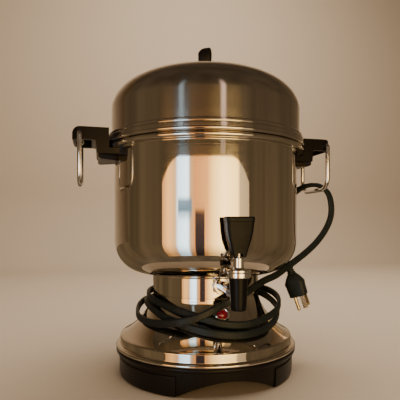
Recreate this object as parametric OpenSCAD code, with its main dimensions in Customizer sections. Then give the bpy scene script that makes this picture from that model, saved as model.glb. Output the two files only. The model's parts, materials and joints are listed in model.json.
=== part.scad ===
// Coffee urn: an electric percolator with a dome lid, swinging ring handles and a
// no-drip tap. The origin is on the table under the urn's axis, +Z is up, the tap
// looks along -Y and the handles stand out along +X and -X.

/* [Bowl and neck] */
// Outer radius of the bowl
bowl_r = 115; // [112:0.5:116]
// Radius of the round corner under the bowl
corner_r = 40; // [34:1:44]
// Height of the bowl's underside
bowl_z = 123; // [120:0.5:125]
// Height of the rolled rim's centre
rim_z = 274.4; // [272:0.1:278]
// Outer radius of the neck
neck_r = 67; // [66:0.5:68]
// Thickness of the sheet steel
sheet_t = 0.9; // [0.8:0.05:1.1]

/* [Lid] */
// Outer radius of the lid's skirt
lid_r = 118.5; // [118:0.25:119]
// Height where the dome leaves the skirt
dome_z = 324.4; // [318:0.2:328]
// Height of the boxy part of the dome
dome_h = 38.7; // [34:0.1:44]
// Extra height of the crown at the centre
crown_h = 6; // [3:0.5:9]

/* [Knob] */
// Width of the knob's finger grip
knob_w = 16.8; // [14:0.2:20]
// Length of the finger grip across its width
knob_d = 25; // [20:1:32]
// Height of the knob's top above the table
knob_top = 406; // [400:1:412]

/* [Base] */
// Outer radius of the rolled bead round the skirt
bead_r = 113; // [112:0.5:114]
// Outer radius of the skirt's upright band
band_r = 107.6; // [107:0.1:108]
// Height of the top of the black base ring
ring_z = 32.8; // [30:0.2:34]
// Rise of the arches between the feet
arch_h = 17.3; // [12:0.1:19]
// Half the width of each arch
arch_w = 56; // [48:1:60]

/* [Tap] */
// Distance of the tap's upright axis from the urn's axis
tap_y = 131; // [130:0.5:134]
// Height of the shank's axis
shank_z = 113; // [112:0.5:113.5]
// Height of the lever's pin
pin_z = 154; // [153:0.5:155]
// Height of the lever's top
lever_top = 190.5; // [184:0.5:196]
// Width of the lever's top
lever_w = 27; // [22:0.5:30]

/* [Handles] */
// Distance of the ring pivots from the urn's axis
pivot_x = 155; // [153:0.5:156]
// Height of the ring pivots
pivot_z = 286; // [285:0.5:287]
// Half the distance between the two legs of a ring
leg_y = 35; // [34.5:0.25:38]
// Height of the ring's bottom bar
bar_z = 229; // [222:0.5:234]
// Radius of the ring's wire
wire_r = 2.85; // [2.5:0.05:3]

/* [Brewing parts] */
// Outer radius of the coffee basket
basket_r = 70; // [60:1:76]
// Height of the basket's floor
basket_z = 214; // [205:1:220]
// Outer radius of the pump tube
tube_r = 4.6; // [4.2:0.1:4.8]
// Height of the pump tube's mouth
tube_top = 300; // [290:1:310]

/* [Cord] */
// Diameter of the tube that stands for the flat cord
cord_d = 6.4; // [5:0.2:7]

/* [Hidden] */
$fn = 96;
floor_z = 84;            // underside of the neck's floor
step_z = 97.6;           // where the neck steps in and sits on the skirt
sump_r = neck_r - 1.6;   // outer radius below the step
floor_hole_r = 19.6;
stud_hole_r = 2.6;
lever_turn = 45;         // travel of the lever, forwards
fit = 0.05;              // radial clearance of pivots and pins
knob_turn = -14;
cord_angle = 155;        // where the cord leaves, turned from the front
cord_exit_z = 60;
cord_exit_r = 86;
cord_heading = 125;      // direction in which the strain relief points
relief_len = 26;

// ---------- shared geometry ----------

function unit(v) = v / norm(v);
function side(a, b) = unit([b.y - a.y, a.x - b.x]);
function arc(c, r, a0, a1, n = 10) =
    [for (i = [0:n]) let (a = a0 + (a1 - a0) * i / n) c + r * [cos(a), sin(a)]];
function bezier(p, n) = [for (i = [0:n]) let (t = i / n, s = 1 - t)
    s * s * s * p[0] + 3 * s * s * t * p[1] + 3 * s * t * t * p[2] + t * t * t * p[3]];
function back(path) = [for (i = [len(path) - 1:-1:0]) path[i]];

// The path moved sideways by t, to its right for a positive t.
function shifted(path, t) = [for (i = [0:len(path) - 1])
    let (before = side(path[max(i - 1, 0)], path[max(i, 1)]),
         after = side(path[min(i, len(path) - 2)], path[min(i + 1, len(path) - 1)]),
         mitre = unit(before + after))
    path[i] + mitre * t / max(0.5, mitre * before)];

// A turned wall of sheet steel along a path of [radius, height].
module sheet(path, t) {
    rotate_extrude() polygon(concat(path, back(shifted(path, t))));
}

// Place children at an angle round the urn, turned from the front towards +X.
module around(angle, r = 0, z = 0) {
    translate([r * sin(angle), -r * cos(angle), z]) rotate([0, 0, angle - 90]) children();
}

// A closed tube swept along points, each with a direction that faces out of the tube.
function cross_ring(p, along, face, w, t, sides) =
    let (a = unit(along), n = unit(face - (face * a) * a), b = cross(n, a))
    [for (k = [0:sides - 1]) let (q = 360 * (k + 0.5) / sides)
        p + b * (w / 2) * cos(q) + n * (t / 2) * sin(q)];

module swept(points, faces, w, t, sides = 8) {
    last = len(points) - 1;
    rings = [for (i = [0:last])
        cross_ring(points[i], points[min(i + 1, last)] - points[max(i - 1, 0)],
            faces[i], w, t, sides)];
    polyhedron([for (ring = rings) each ring],
        concat([[for (k = [0:sides - 1]) k]],
            [for (i = [0:last - 1], k = [0:sides - 1])
                let (m = (k + 1) % sides, a = i * sides)
                [a + k, a + sides + k, a + sides + m, a + m]],
            [[for (k = [sides - 1:-1:0]) last * sides + k]]));
}

module tube(outer, inner, h) {
    difference() {
        cylinder(r = outer, h = h);
        translate([0, 0, -1]) cylinder(r = inner, h = h + 2);
    }
}

// ---------- vessel ----------

vessel_path = concat(
    [[floor_hole_r, floor_z]],
    arc([sump_r - 3, floor_z + 3], 3, -90, 0, 5),
    [[sump_r, step_z], [neck_r, step_z]],
    arc([neck_r + 3, bowl_z - 3], 3, 180, 90, 4),
    arc([bowl_r - corner_r, bowl_z + corner_r], corner_r, -90, 0, 18),
    arc([bowl_r + 3.5, rim_z - 6.4], 3.5, 180, 90, 5),
    [[bowl_r + 5, rim_z - 2.9]]);

module urn_vessel() {
    color([0.62, 0.56, 0.5]) difference() {
        union() {
            sheet(vessel_path, -sheet_t);
            rotate_extrude() translate([bowl_r + 6.1, rim_z]) circle(r = 2.9, $fn = 32);
        }
        translate([0, 0, shank_z]) rotate([90, 0, 0]) cylinder(r = 6.4, h = neck_r + 5);
        for (s = [85, 95, 265, 275])
            around(s, bowl_r - 5, 264.5) rotate([0, 90, 0]) cylinder(r = 2.1, h = 10);
    }
}

// ---------- lid ----------

function dome(r) = dome_z + dome_h * pow(1 - pow(r / lid_r, 4.5), 0.556)
    + crown_h * (1 - pow(r / lid_r, 2));

lid_path = concat(
    [[stud_hole_r, dome(stud_hole_r)]],
    [for (i = [1:26]) let (a = 90 * i / 27) [lid_r * sin(a), dome(lid_r * sin(a))]],
    [[lid_r, dome_z], [lid_r, 292.4], [lid_r + 2.3, 291.3]],
    arc([lid_r + 2, 289.6], 1.7, 80, 0, 4),
    [[lid_r + 3.9, 287.6]],
    arc([lid_r + 3.9, 286.2], 1.3, 80, 0, 4),
    [[lid_r + 5.2, 281]]);

module lid_shell() {
    color([0.6, 0.53, 0.46]) union() {
        sheet(lid_path, sheet_t);
        rotate_extrude() translate([lid_r + 3.4, 280.4]) circle(r = 2.75, $fn = 32);
        rotate_extrude() polygon([[bowl_r - 2.7, 270], [bowl_r - 1.8, 270],
            [bowl_r - 1.8, 279.4], [lid_r + 2, 279.4], [lid_r + 2, 280.3],
            [bowl_r - 2.7, 280.3]]);
    }
}

knob_z = dome(0) + 0.2;

module lid_knob() {
    color([0.08, 0.07, 0.07]) difference() {
        rotate([0, 0, knob_turn]) union() {
            rotate_extrude() polygon(concat([[0, knob_z - 0.15], [12.5, dome(12.5) + 0.05]],
                arc([11.5, knob_z + 1.4], 1.2, -20, 90, 4),
                [[8.5, knob_z + 4], [7.2, knob_z + 9], [0, knob_z + 9]]));
            hull() {
                for (x = [-1, 1], y = [-1, 1]) {
                    translate([x * (knob_w / 2 - 3), y * (knob_d / 2 - 3), knob_top - 4 + x * 1.2])
                        cylinder(r1 = 3, r2 = 2, h = 2.8, $fn = 24);
                    translate([x * 4, y * 5, knob_z + 6]) cylinder(r = 2.4, h = 1, $fn = 24);
                    translate([x * (knob_w / 2 - 3.4), y * (knob_d / 2 - 3.6), knob_z + 20])
                        cylinder(r = 3, h = 1, $fn = 24);
                }
            }
        }
        translate([0, 0, knob_z - 1]) cylinder(r = 2.05, h = 16);
    }
}

module knob_screw() {
    color("silver") union() {
        translate([0, 0, dome(0) - 6.2]) cylinder(r = 2, h = 20);
        translate([0, 0, dome(0) - 2.3]) cylinder(r = 7, h = 1.2);
        translate([0, 0, dome(0) - 5]) cylinder(r1 = 3, r2 = 4, h = 2.8);
    }
}

// ---------- base ----------

skirt_path = concat(
    bezier([[neck_r, step_z], [neck_r, 84], [84, 58], [band_r - 1.1, 47.2]], 20),
    arc([band_r - 1.3, 45.7], 1.3, 70, 0, 3),
    arc([band_r + 1.2, 37.8], 1.2, 180, 250, 3),
    [[bead_r - 2.1, 35.6]]);

lamp_place = [0, -72, 81];
lamp_tilt = 62;          // the lamp's axis, turned down from upright towards the front

module at_lamp() {
    translate(lamp_place) rotate([lamp_tilt, 0, 0]) children();
}

module at_relief() {
    translate([cord_exit_r * sin(cord_angle), -cord_exit_r * cos(cord_angle), cord_exit_z])
        rotate([0, 90, cord_heading]) children();
}

module base_skirt() {
    color([0.78, 0.78, 0.8]) difference() {
        union() {
            sheet(skirt_path, sheet_t);
            rotate_extrude() translate([bead_r - 2.1, ring_z + 2.1]) circle(r = 2.1, $fn = 32);
        }
        at_lamp() translate([0, 0, -12]) cylinder(r = 6, h = 20);
        at_relief() translate([0, 0, -14]) cylinder(r = 5.6, h = 30);
    }
}

foot_path = [[96, ring_z - 3.3], [103.5, ring_z - 3.3], [103.5, 8], [100.5, 6], [100.5, 0],
    [104, 0], [106.3, 1.6], [107.2, 6], [108.4, ring_z - 5.3], [bead_r - 0.8, ring_z - 5.3],
    [bead_r, ring_z - 4.5], [bead_r, ring_z - 0.8], [bead_r - 0.8, ring_z],
    [band_r - 1.2, ring_z], [band_r - 1.2, 44], [band_r - 4, 44], [band_r - 4, ring_z],
    [96, ring_z]];
pad_path = [[104, 0], [106.3, 0], [108.2, 1.6], [108.9, 6], [109.4, 21.6], [108.6, 22.6],
    [105, 22.6]];
arch_r = (arch_w * arch_w + arch_h * arch_h) / (2 * arch_h);

module base_ring() {
    color([0.09, 0.07, 0.06]) difference() {
        union() {
            rotate_extrude($fn = 120) polygon(foot_path);
            rotate_extrude($fn = 120) polygon(pad_path);
        }
        for (a = [0, 120, 240]) around(a, 90, arch_h - arch_r)
            rotate([0, 90, 0]) cylinder(r = arch_r, h = 30, $fn = 180);
        for (a = [0, 120, 240]) around(a, 0, 0)
            rotate([0, 0, -31.5]) rotate_extrude(angle = 63, $fn = 120)
                polygon([[108.3, 2], [112, 2], [112, 24], [108.5, 24], [108.35, 18]]);
        for (a = [60, 180, 300]) around(a, 99, ring_z - 5) cylinder(r = 1.8, h = 8);
    }
}

module base_plate() {
    color([0.55, 0.55, 0.56]) difference() {
        translate([0, 0, ring_z - 4.4]) cylinder(r = 102.8, h = 1.1);
        for (a = [60, 180, 300]) around(a, 99, ring_z - 8) cylinder(r = 1.8, h = 8);
        translate([0, 0, ring_z - 8]) cylinder(r = stud_hole_r + 0.2, h = 8);
        for (a = [0:30:330]) around(a, 62, ring_z - 8) {
            translate([-11, -2.5, 0]) cube([22, 5, 8]);
            for (x = [-11, 11]) translate([x, 0, 0]) cylinder(r = 2.5, h = 8);
        }
    }
}

module base_screws() {
    color("silver") for (a = [60, 180, 300]) around(a, 99, 0) {
        translate([0, 0, ring_z - 4.4]) cylinder(r = 1.75, h = 6.4);
        translate([0, 0, ring_z - 6.2]) cylinder(r1 = 2.4, r2 = 3.4, h = 1.8);
    }
}

module centre_stud() {
    color("silver") translate([0, 0, 21]) cylinder(r = 2.5, h = 37);
}

module stud_nut() {
    color("silver") difference() {
        union() {
            translate([0, 0, 23.2]) cylinder(r = 4.6, h = 4, $fn = 6);
            translate([0, 0, 27.2]) cylinder(r = 7, h = 1.2);
        }
        translate([0, 0, 20]) cylinder(r = 2.52, h = 12);
    }
}

// ---------- heating parts ----------

module heater_well() {
    color([0.75, 0.75, 0.77]) rotate_extrude() polygon([[0, 58], [17, 58], [17, 74],
        [19.3, 74], [19.3, 86.5], [25, 86.5], [25, 87.6], [16, 87.6], [16, 59.5], [0, 59.5]]);
}

module well_gasket() {
    color([0.75, 0.25, 0.15]) translate([0, 0, floor_z + sheet_t])
        tube(25.4, 19.7, 86.5 - floor_z - sheet_t);
}

module well_nut() {
    color([0.7, 0.58, 0.3]) difference() {
        translate([0, 0, 79]) cylinder(r = 26, h = floor_z - 79, $fn = 6);
        translate([0, 0, 70]) cylinder(r = 19.34, h = 20);
    }
}

module heating_element() {
    color([0.5, 0.5, 0.52]) union() {
        translate([0, 0, 60]) tube(23, 17.04, 12);
        for (a = [125, 185]) around(a, 22, 63) translate([0, -3, 0]) cube([10, 6, 1.2]);
    }
}

module warming_element() {
    color([0.5, 0.48, 0.46]) translate([0, 0, floor_z - 3.2]) rotate([0, 0, 140])
        rotate_extrude(angle = 220) translate([36, 0]) square([12, 3.2]);
}

module thermostat() {
    color([0.85, 0.83, 0.78]) around(150, 42, 0) union() {
        translate([0, 0, floor_z - 9]) cylinder(r = 8.5, h = 9);
        for (x = [-4, 4]) translate([x - 0.4, -3, floor_z - 17]) cube([0.8, 6, 9]);
    }
}

module thermal_fuse() {
    color([0.8, 0.75, 0.6]) around(185, 42, floor_z - 3) rotate([90, 0, 0])
        translate([0, 0, -8]) cylinder(r = 2.6, h = 16);
}

// Each lead runs inside the skirt from the strain relief to its terminal.
lead_start = [28, 60, 60];
leads = [
    [lead_start + [-3, 0, 3], [22, 50, 50], [26, 36, 50], [25.5, 20.5, 61.6]],
    [lead_start, [20, 44, 44], [4, 40, 46], [3.5, 31.5, 61.8]],
    [lead_start + [3, 0, -3], [48, 20, 46], [40, -40, 50], [4, -56, 66]]];

module lead_wires() {
    color([0.85, 0.85, 0.8]) for (p = leads)
        swept(bezier(p, 10), [for (i = [0:10]) [0.3, 0.2, 1]], 2.2, 2.2);
}

// ---------- signal lamp ----------

module lamp_bezel() {
    color([0.8, 0.8, 0.82]) at_lamp() rotate_extrude() polygon([[5.3, -2], [5.9, -2],
        [5.9, 1.2], [9.4, 1.2], [9.5, 1.6], [7.6, 3], [6.8, 3.1], [5.3, 1.8]]);
}

module lamp_lens() {
    color([0.8, 0.05, 0.1]) at_lamp() rotate_extrude()
        polygon(concat([[0, -2]], [[5.2, -2], [5.2, 2]], arc([0, 2], 5.2, 20, 90, 6)));
}

module lamp_holder() {
    color([0.9, 0.88, 0.85]) at_lamp() union() {
        translate([0, 0, -15]) cylinder(r = 5.6, h = 13);
        translate([0, 0, -3.8]) cylinder(r = 7.6, h = 1.2, $fn = 6);
    }
}

// ---------- tap ----------

module at_tap(z = 0) {
    translate([0, -tap_y, z]) children();
}

module tap_shank() {
    color([0.8, 0.8, 0.82]) translate([0, 0, shank_z]) rotate([90, 0, 0]) difference() {
        union() {
            translate([0, 0, 56]) cylinder(r = 6.3, h = tap_y - 56 - 6.2);
            translate([0, 0, neck_r + 2.5]) cylinder(r = 8.4, h = 3, $fn = 6);
            translate([0, 0, neck_r + 1.5]) cylinder(r = 8.4, h = 1);
        }
        translate([0, 0, 50]) cylinder(r = 4.2, h = 90);
    }
}

module shank_washers() {
    color([0.8, 0.35, 0.2]) difference() {
        translate([0, 0, shank_z]) rotate([90, 0, 0]) union() {
            translate([0, 0, neck_r - 3]) cylinder(r = 7, h = 4.5);
            translate([0, 0, neck_r - 3.2]) cylinder(r = 7, h = 0.5);
        }
        translate([0, 0, shank_z]) rotate([90, 0, 0]) cylinder(r = 6.32, h = 90);
        translate([0, 0, shank_z - 20]) tube(neck_r + 0.05, neck_r - sheet_t - 0.05, 40);
    }
}

module shank_nut() {
    color([0.7, 0.7, 0.72]) translate([0, 0, shank_z]) rotate([90, 0, 0]) difference() {
        translate([0, 0, neck_r - 7.2]) cylinder(r = 10, h = 4, $fn = 6);
        cylinder(r = 6.34, h = 90);
    }
}

module tap_body() {
    color([0.05, 0.05, 0.055]) difference() {
        union() {
            at_tap(96.7) cylinder(r1 = 7.5, r2 = 9.7, h = 32.8);
            at_tap(129) cylinder(r = 8.4, h = 7);
            translate([0, -tap_y, shank_z]) rotate([-90, 0, 0]) cylinder(r = 8.3, h = 17);
        }
        at_tap(109) cylinder(r = 6.2, h = 40);
        at_tap(106.5) cylinder(r1 = 4, r2 = 6.2, h = 2.52);
        at_tap(90) cylinder(r = 4, h = 18);
        translate([0, -tap_y + 6.2, shank_z]) rotate([-90, 0, 0]) cylinder(r = 6.32, h = 20);
        translate([0, -tap_y, shank_z]) rotate([-90, 0, 0]) cylinder(r = 4.2, h = 20);
    }
}

module tap_bonnet() {
    color([0.8, 0.8, 0.82]) at_tap() difference() {
        rotate_extrude() polygon([[0, 129.6], [11.9, 129.6], [12.3, 130], [12.3, 134.4],
            [11.9, 134.8], [11.9, 135.4], [12.3, 135.8], [12.3, 137.2], [11.5, 138],
            [5.3, 138.2], [5.3, 149.2], [4.9, 149.6], [0, 149.6]]);
        translate([0, 0, 120]) cylinder(r = 8.44, h = 16.1);
        translate([0, 0, 120]) cylinder(r = 2.66, h = 40);
    }
}

module tap_stem() {
    color([0.78, 0.78, 0.8]) difference() {
        union() {
            at_tap(110.5) cylinder(r = 2.6, h = 47.5);
            at_tap(119) cylinder(r = 5.2, h = 1.2);
        }
        translate([-5, -tap_y, pin_z]) rotate([0, 90, 0]) cylinder(r = 1.2 + fit, h = 10);
    }
}

module seat_cup() {
    color([0.85, 0.85, 0.82]) at_tap() rotate_extrude() polygon([[0, 107.2], [4, 107.2],
        [5.7, 109.6], [5.7, 115], [4.6, 118.9], [2.62, 118.9], [2.62, 110.4], [0, 110.4]]);
}

spring_turns = 5;
spring_steps = 14;

module tap_spring() {
    count = spring_turns * spring_steps;
    at_tap() color([0.7, 0.7, 0.72]) swept(
        [for (i = [0:count]) let (a = 360 * i / spring_steps)
            [4.3 * cos(a), 4.3 * sin(a), 120.8 + 14.6 * i / count]],
        [for (i = [0:count]) let (a = 360 * i / spring_steps) [cos(a), sin(a), 0]],
        0.9, 0.9, 6);
}

// The lever's heel rolls on the bonnet's neck and lifts the stem as it tips forwards.
module tap_lever() {
    color([0.06, 0.06, 0.065]) difference() {
        hull() {
            at_tap(lever_top - 5) for (x = [-1, 1], y = [-1, 1])
                translate([x * (lever_w / 2 - 2), y * 5.2, 0])
                    cylinder(r = 2, h = 5 - (x < 0 ? 0.9 : 0), $fn = 24);
            at_tap(166) for (x = [-1, 1], y = [-1, 1])
                translate([x * 8.2, y * 4.6, 0]) cylinder(r = 2, h = 1, $fn = 24);
            at_tap(149.9) for (x = [-1, 1], y = [-1, 1])
                translate([x * 4.3, y * 4, 0]) cylinder(r1 = 1.6, r2 = 2, h = 1.4, $fn = 24);
        }
        at_tap() translate([-2.9, -8, 148]) cube([5.8, 8, 7]);
        at_tap() translate([-2.9, -5, 148]) cube([5.8, 10.2, 12.4]);
        translate([-6.1, -tap_y, pin_z]) rotate([0, 90, 0]) cylinder(r = 1.2, h = 12.2);
    }
}

module lever_pin() {
    color("silver") translate([-6, -tap_y, pin_z]) rotate([0, 90, 0]) cylinder(r = 1.2, h = 12);
}

// ---------- handles ----------

arm_out = 164;
arm_half = 30;

// The bracket stands along +X: a block on the bowl, a web and a hollow arm.
module bracket() {
    difference() {
        union() {
            intersection() {
                rotate([90, 0, 0]) linear_extrude(2 * arm_half, center = true)
                    polygon([[110, 258], [132, 258], [135, 260], [135, 265], [138, 266.5],
                        [141, 279.5], [arm_out, 279.5], [arm_out, 290.5], [arm_out - 2, 292.5],
                        [126.4, 292.5], [126.4, 271.2], [119.5, 271.2], [114, 267.6],
                        [110, 267.6]]);
                translate([0, 0, 250]) union() {
                    translate([100, -arm_half, 0]) cube([arm_out - 112, 2 * arm_half, 50]);
                    translate([100, 12 - arm_half, 0]) cube([arm_out - 100, 2 * arm_half - 24, 50]);
                    for (s = [-1, 1])
                        translate([arm_out - 12, s * (arm_half - 12), 0]) cylinder(r = 12, h = 50);
                }
            }
        }
        translate([142, 4 - arm_half, 270]) cube([arm_out - 142 - 3.5, 2 * arm_half - 8, 20]);
        for (s = [-1, 1])
            translate([100, s * (arm_half - 5) - 5, 250]) cube([22, 10, 20.6]);
        cylinder(r = bowl_r + 0.02, h = 300, $fn = 120);
        translate([pivot_x, -arm_half - 1, pivot_z]) rotate([-90, 0, 0])
            cylinder(r = wire_r + fit, h = 2 * arm_half + 2);
        for (s = [-5, 5]) around(90 + s, bowl_r - 2, 264.5) rotate([0, 90, 0])
            cylinder(r = 2.04, h = 14.2);
    }
}

// A ring of bent wire that hangs from the arm, with its two ends turned inwards.
module wire_ring() {
    bend = 4;
    corner = 16;
    for (s = [-1, 1]) mirror([0, s < 0 ? 1 : 0, 0]) {
        translate([pivot_x, 22.4, pivot_z]) rotate([-90, 0, 0])
            cylinder(r = wire_r, h = leg_y - bend - 22.4);
        translate([pivot_x, leg_y - bend, pivot_z - bend]) rotate([90, 0, 90])
            rotate_extrude(angle = 90) translate([bend, 0]) circle(r = wire_r, $fn = 32);
        translate([pivot_x, leg_y, bar_z + corner])
            cylinder(r = wire_r, h = pivot_z - bend - bar_z - corner);
        translate([pivot_x, leg_y - corner, bar_z + corner]) rotate([90, 0, 90])
            rotate([0, 0, -90]) rotate_extrude(angle = 90) translate([corner, 0])
                circle(r = wire_r, $fn = 32);
        translate([pivot_x, 0, bar_z]) rotate([-90, 0, 0])
            cylinder(r = wire_r, h = leg_y - corner);
    }
}

module ring_clips() {
    for (s = [-1, 1]) translate([pivot_x, s * 24.8, pivot_z]) rotate([90, 0, 0])
        translate([0, 0, -0.6]) tube(3.9, wire_r, 1.2);
}

module right_bracket() { color([0.1, 0.08, 0.07]) bracket(); }
module left_bracket() { color([0.1, 0.08, 0.07]) mirror([1, 0, 0]) bracket(); }
module right_ring() { color([0.8, 0.8, 0.82]) wire_ring(); }
module left_ring() { color([0.8, 0.8, 0.82]) mirror([1, 0, 0]) wire_ring(); }
module right_ring_clips() { color("silver") ring_clips(); }
module left_ring_clips() { color("silver") mirror([1, 0, 0]) ring_clips(); }

module bracket_screws() {
    color("silver") for (s = [85, 95, 265, 275])
        around(s, bowl_r, 264.5) rotate([0, 90, 0]) {
            translate([0, 0, -2]) cylinder(r = 2, h = 14);
            translate([0, 0, -2.8]) cylinder(r1 = 3, r2 = 4, h = 1.8);
        }
}

// ---------- brewing parts ----------

collar_z = basket_z - 3.3;

module pump_tube() {
    color([0.8, 0.8, 0.82]) difference() {
        union() {
            translate([0, 0, 68]) cylinder(r = tube_r, h = tube_top - 68);
            translate([0, 0, collar_z]) cylinder(r = 8.4, h = 3);
        }
        translate([0, 0, 60]) cylinder(r = tube_r - 0.8, h = tube_top);
    }
}

module pump_foot() {
    color([0.75, 0.75, 0.77]) rotate_extrude() polygon([[14.8, 59.8], [14.8, 66], [9, 78],
        [6.4, 82], [4.6, 82], [4.6, 76], [8.2, 75], [13.4, 65.4], [13.4, 59.8]]);
}

module valve_disc() {
    color([0.7, 0.7, 0.72]) translate([0, 0, 60.9]) tube(12.6, 1.4, 0.8);
}

module coffee_basket() {
    color([0.75, 0.75, 0.78]) difference() {
        rotate_extrude() polygon([[5.1, basket_z], [basket_r - 9, basket_z],
                [basket_r - 6, basket_z + 1.6], [basket_r - 5, basket_z + 4],
                [basket_r - 1, basket_z + 54], [basket_r + 1.6, basket_z + 54.6],
                [basket_r + 1.6, basket_z + 55.4], [basket_r - 1.8, basket_z + 55],
                [basket_r - 5.8, basket_z + 4.4], [basket_r - 9, basket_z + 0.8],
                [6, basket_z + 0.8], [6, basket_z + 40], [5.1, basket_z + 40]]);
        for (ring = [[16, 10], [26, 16], [36, 22], [46, 28]])
            for (k = [0:ring[1] - 1]) rotate([0, 0, 360 * k / ring[1]])
                translate([ring[0], 0, basket_z - 1]) cylinder(r = 1.1, h = 3, $fn = 16);
    }
}

module basket_cover() {
    color([0.75, 0.75, 0.78]) difference() {
        rotate_extrude() polygon([[7.6, basket_z + 60], [7.6, basket_z + 59.1],
            [40, basket_z + 57.6], [basket_r - 2, basket_z + 55.8],
            [basket_r + 1.4, basket_z + 55.8], [basket_r + 1.4, basket_z + 56.6],
            [basket_r - 2, basket_z + 56.6], [40, basket_z + 58.4]]);
        for (ring = [[20, 12], [34, 18], [48, 24]])
            for (k = [0:ring[1] - 1]) rotate([0, 0, 360 * k / ring[1]])
                translate([ring[0], 0, basket_z + 50]) cylinder(r = 1, h = 20, $fn = 16);
    }
}

// ---------- cord ----------

// Each turn round the neck: [angle from the front, distance from the axis, height].
wraps = [
    [167.8, 101.5, 60], [171.7, 108.5, 60], [177.3, 113.4, 60.3], [185.1, 115.6, 61.5], [192.9, 112.4, 63.2],
    [200.5, 105.8, 65.3], [208.4, 98.6, 68], [217.1, 92, 71.4], [226, 86, 75.5], [236, 81.4, 79.8],
    [247, 78, 83.6], [260, 76.3, 85.8], [275, 75.8, 85.4], [292, 77, 82.3], [308, 79.8, 77.5],
    [324, 83.4, 72.8], [340, 87.6, 67.6], [356, 91.8, 63.5], [374, 94, 61.5], [392, 94, 64],
    [410, 93, 70], [430, 91, 78], [452, 85, 87], [474, 77.5, 93.2], [495, 74, 97],
    [517, 72.8, 98.5], [540, 72.4, 98.5], [563, 72.4, 98.5], [586, 72.6, 98], [610, 73, 96.5],
    [634, 73.4, 94], [656, 74.2, 91], [676, 75.6, 87], [692, 78, 82.5], [706, 81, 77.5],
    [720, 84.6, 72.6], [736, 87.8, 70.6], [752, 90.5, 73.8], [772, 93.5, 80.5], [792, 93, 88.5],
    [812, 90, 94], [834, 85, 96.3], [855, 82.5, 95.5], [878, 84, 91.5], [900, 86, 87.5],
    [922, 88.5, 84], [941, 91, 81], [951, 91.6, 79.6], [963, 89.8, 76.4], [978, 87.2, 72.5],
    [996, 86.6, 70.5], [1014, 86.8, 69.6], [1030, 88.4, 71], [1046, 91, 75.4], [1058, 88.5, 80],
    [1070, 84.5, 87.5], [1082, 79.5, 95], [1094.8, 80.4, 101.4], [1109.4, 76, 107],
];
// From the neck up over the right ring's bar and down to the plug.
loop = [
    [37.3, -66.2, 107], [58, -52, 114], [80, -42, 120], [100, -28, 127.5], [118, -20, 136],
    [137, -14, 147], [154, -10, 160], [168, -7.5, 176], [176.5, -6, 193], [178, -5, 210],
    [173, -5, 226], [161, -3, 236], [147, 6, 236.5], [134, 16, 228], [124, 20, 213],
    [120.5, 17, 196], [119.3, 12, 176], [119, 7, 158], [114, 2.8, 141], [116.8, 1.2, 128]];

module cord_wraps() {
    points = [for (w = wraps) [w[1] * sin(w[0]), -w[1] * cos(w[0]), w[2]]];
    color([0.12, 0.12, 0.13])
        swept(points, [for (p = points) [p.x, p.y, 0]], cord_d, cord_d, 8);
}

module cord_loop() {
    color([0.12, 0.12, 0.13])
        swept(loop, [for (p = loop) [0, -1, 0]], cord_d, cord_d, 8);
}

module strain_relief() {
    color([0.07, 0.07, 0.07]) at_relief() rotate_extrude() polygon([[0, -12], [5.5, -12],
        [5.5, 9], [5, 12], [5.3, 12], [5.3, 14], [4.8, 14], [5, 17], [4.5, 17], [4.7, 20],
        [4.2, 20], [4.4, relief_len], [0, relief_len]]);
}

plug_top = [116.8, 1.2, 128];
plug_lean = 19;          // the plug hangs outwards by this angle
plug_turn = -15;
plug_roll = 25;          // turn of the blades about the plug's own axis

module at_plug() {
    translate(plug_top) rotate([0, 0, plug_turn]) rotate([0, 180 - plug_lean, 0])
        rotate([0, 0, plug_roll]) children();
}

module plug_body() {
    color([0.07, 0.07, 0.075]) at_plug() union() {
        rotate_extrude() polygon([[0, 0.05], [3.4, 0.05], [3.8, 2], [3.3, 3], [4.2, 5],
            [3.6, 6], [4.6, 8], [4, 9], [5.2, 11.5], [4.6, 13], [0, 13]]);
        hull() {
            translate([0, 0, 12]) cylinder(r = 5, h = 1, $fn = 24);
            translate([0, 0, 24]) for (x = [-6, 6]) translate([x, 0, 0])
                cylinder(r = 7.5, h = 1, $fn = 24);
            translate([0, 0, 43]) for (x = [-5.5, 5.5], y = [-3, 3]) translate([x, y, 0])
                cylinder(r = 6, h = 1, $fn = 24);
        }
    }
}

module plug_blades() {
    color([0.8, 0.76, 0.66]) at_plug() for (y = [-6.35, 6.35])
        translate([-5.5 - 3.2, y - 0.75, 44]) cube([6.4, 1.5, 17]);
}

module plug_ground_pin() {
    color([0.8, 0.76, 0.66]) at_plug() translate([6.2, 0, 44]) union() {
        cylinder(r = 2.4, h = 18.2);
        translate([0, 0, 18.2]) cylinder(r1 = 2.4, r2 = 1.2, h = 2.2);
    }
}

urn_vessel();
lid_shell();
lid_knob();
knob_screw();
base_skirt();
base_ring();
base_plate();
base_screws();
centre_stud();
stud_nut();
heater_well();
well_gasket();
well_nut();
heating_element();
warming_element();
thermostat();
thermal_fuse();
lead_wires();
lamp_bezel();
lamp_lens();
lamp_holder();
strain_relief();
tap_shank();
shank_washers();
shank_nut();
tap_body();
tap_bonnet();
tap_stem();
seat_cup();
tap_spring();
tap_lever();
lever_pin();
left_bracket();
right_bracket();
left_ring();
right_ring();
left_ring_clips();
right_ring_clips();
bracket_screws();
pump_tube();
pump_foot();
valve_disc();
coffee_basket();
basket_cover();
cord_wraps();
cord_loop();
plug_body();
plug_blades();
plug_ground_pin();
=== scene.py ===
import json
from math import atan2, cos, hypot, radians, sin, tan, tau

import bpy
from bpy.props import FloatProperty, FloatVectorProperty, IntProperty, PointerProperty
from mathutils import Matrix, Vector


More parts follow.
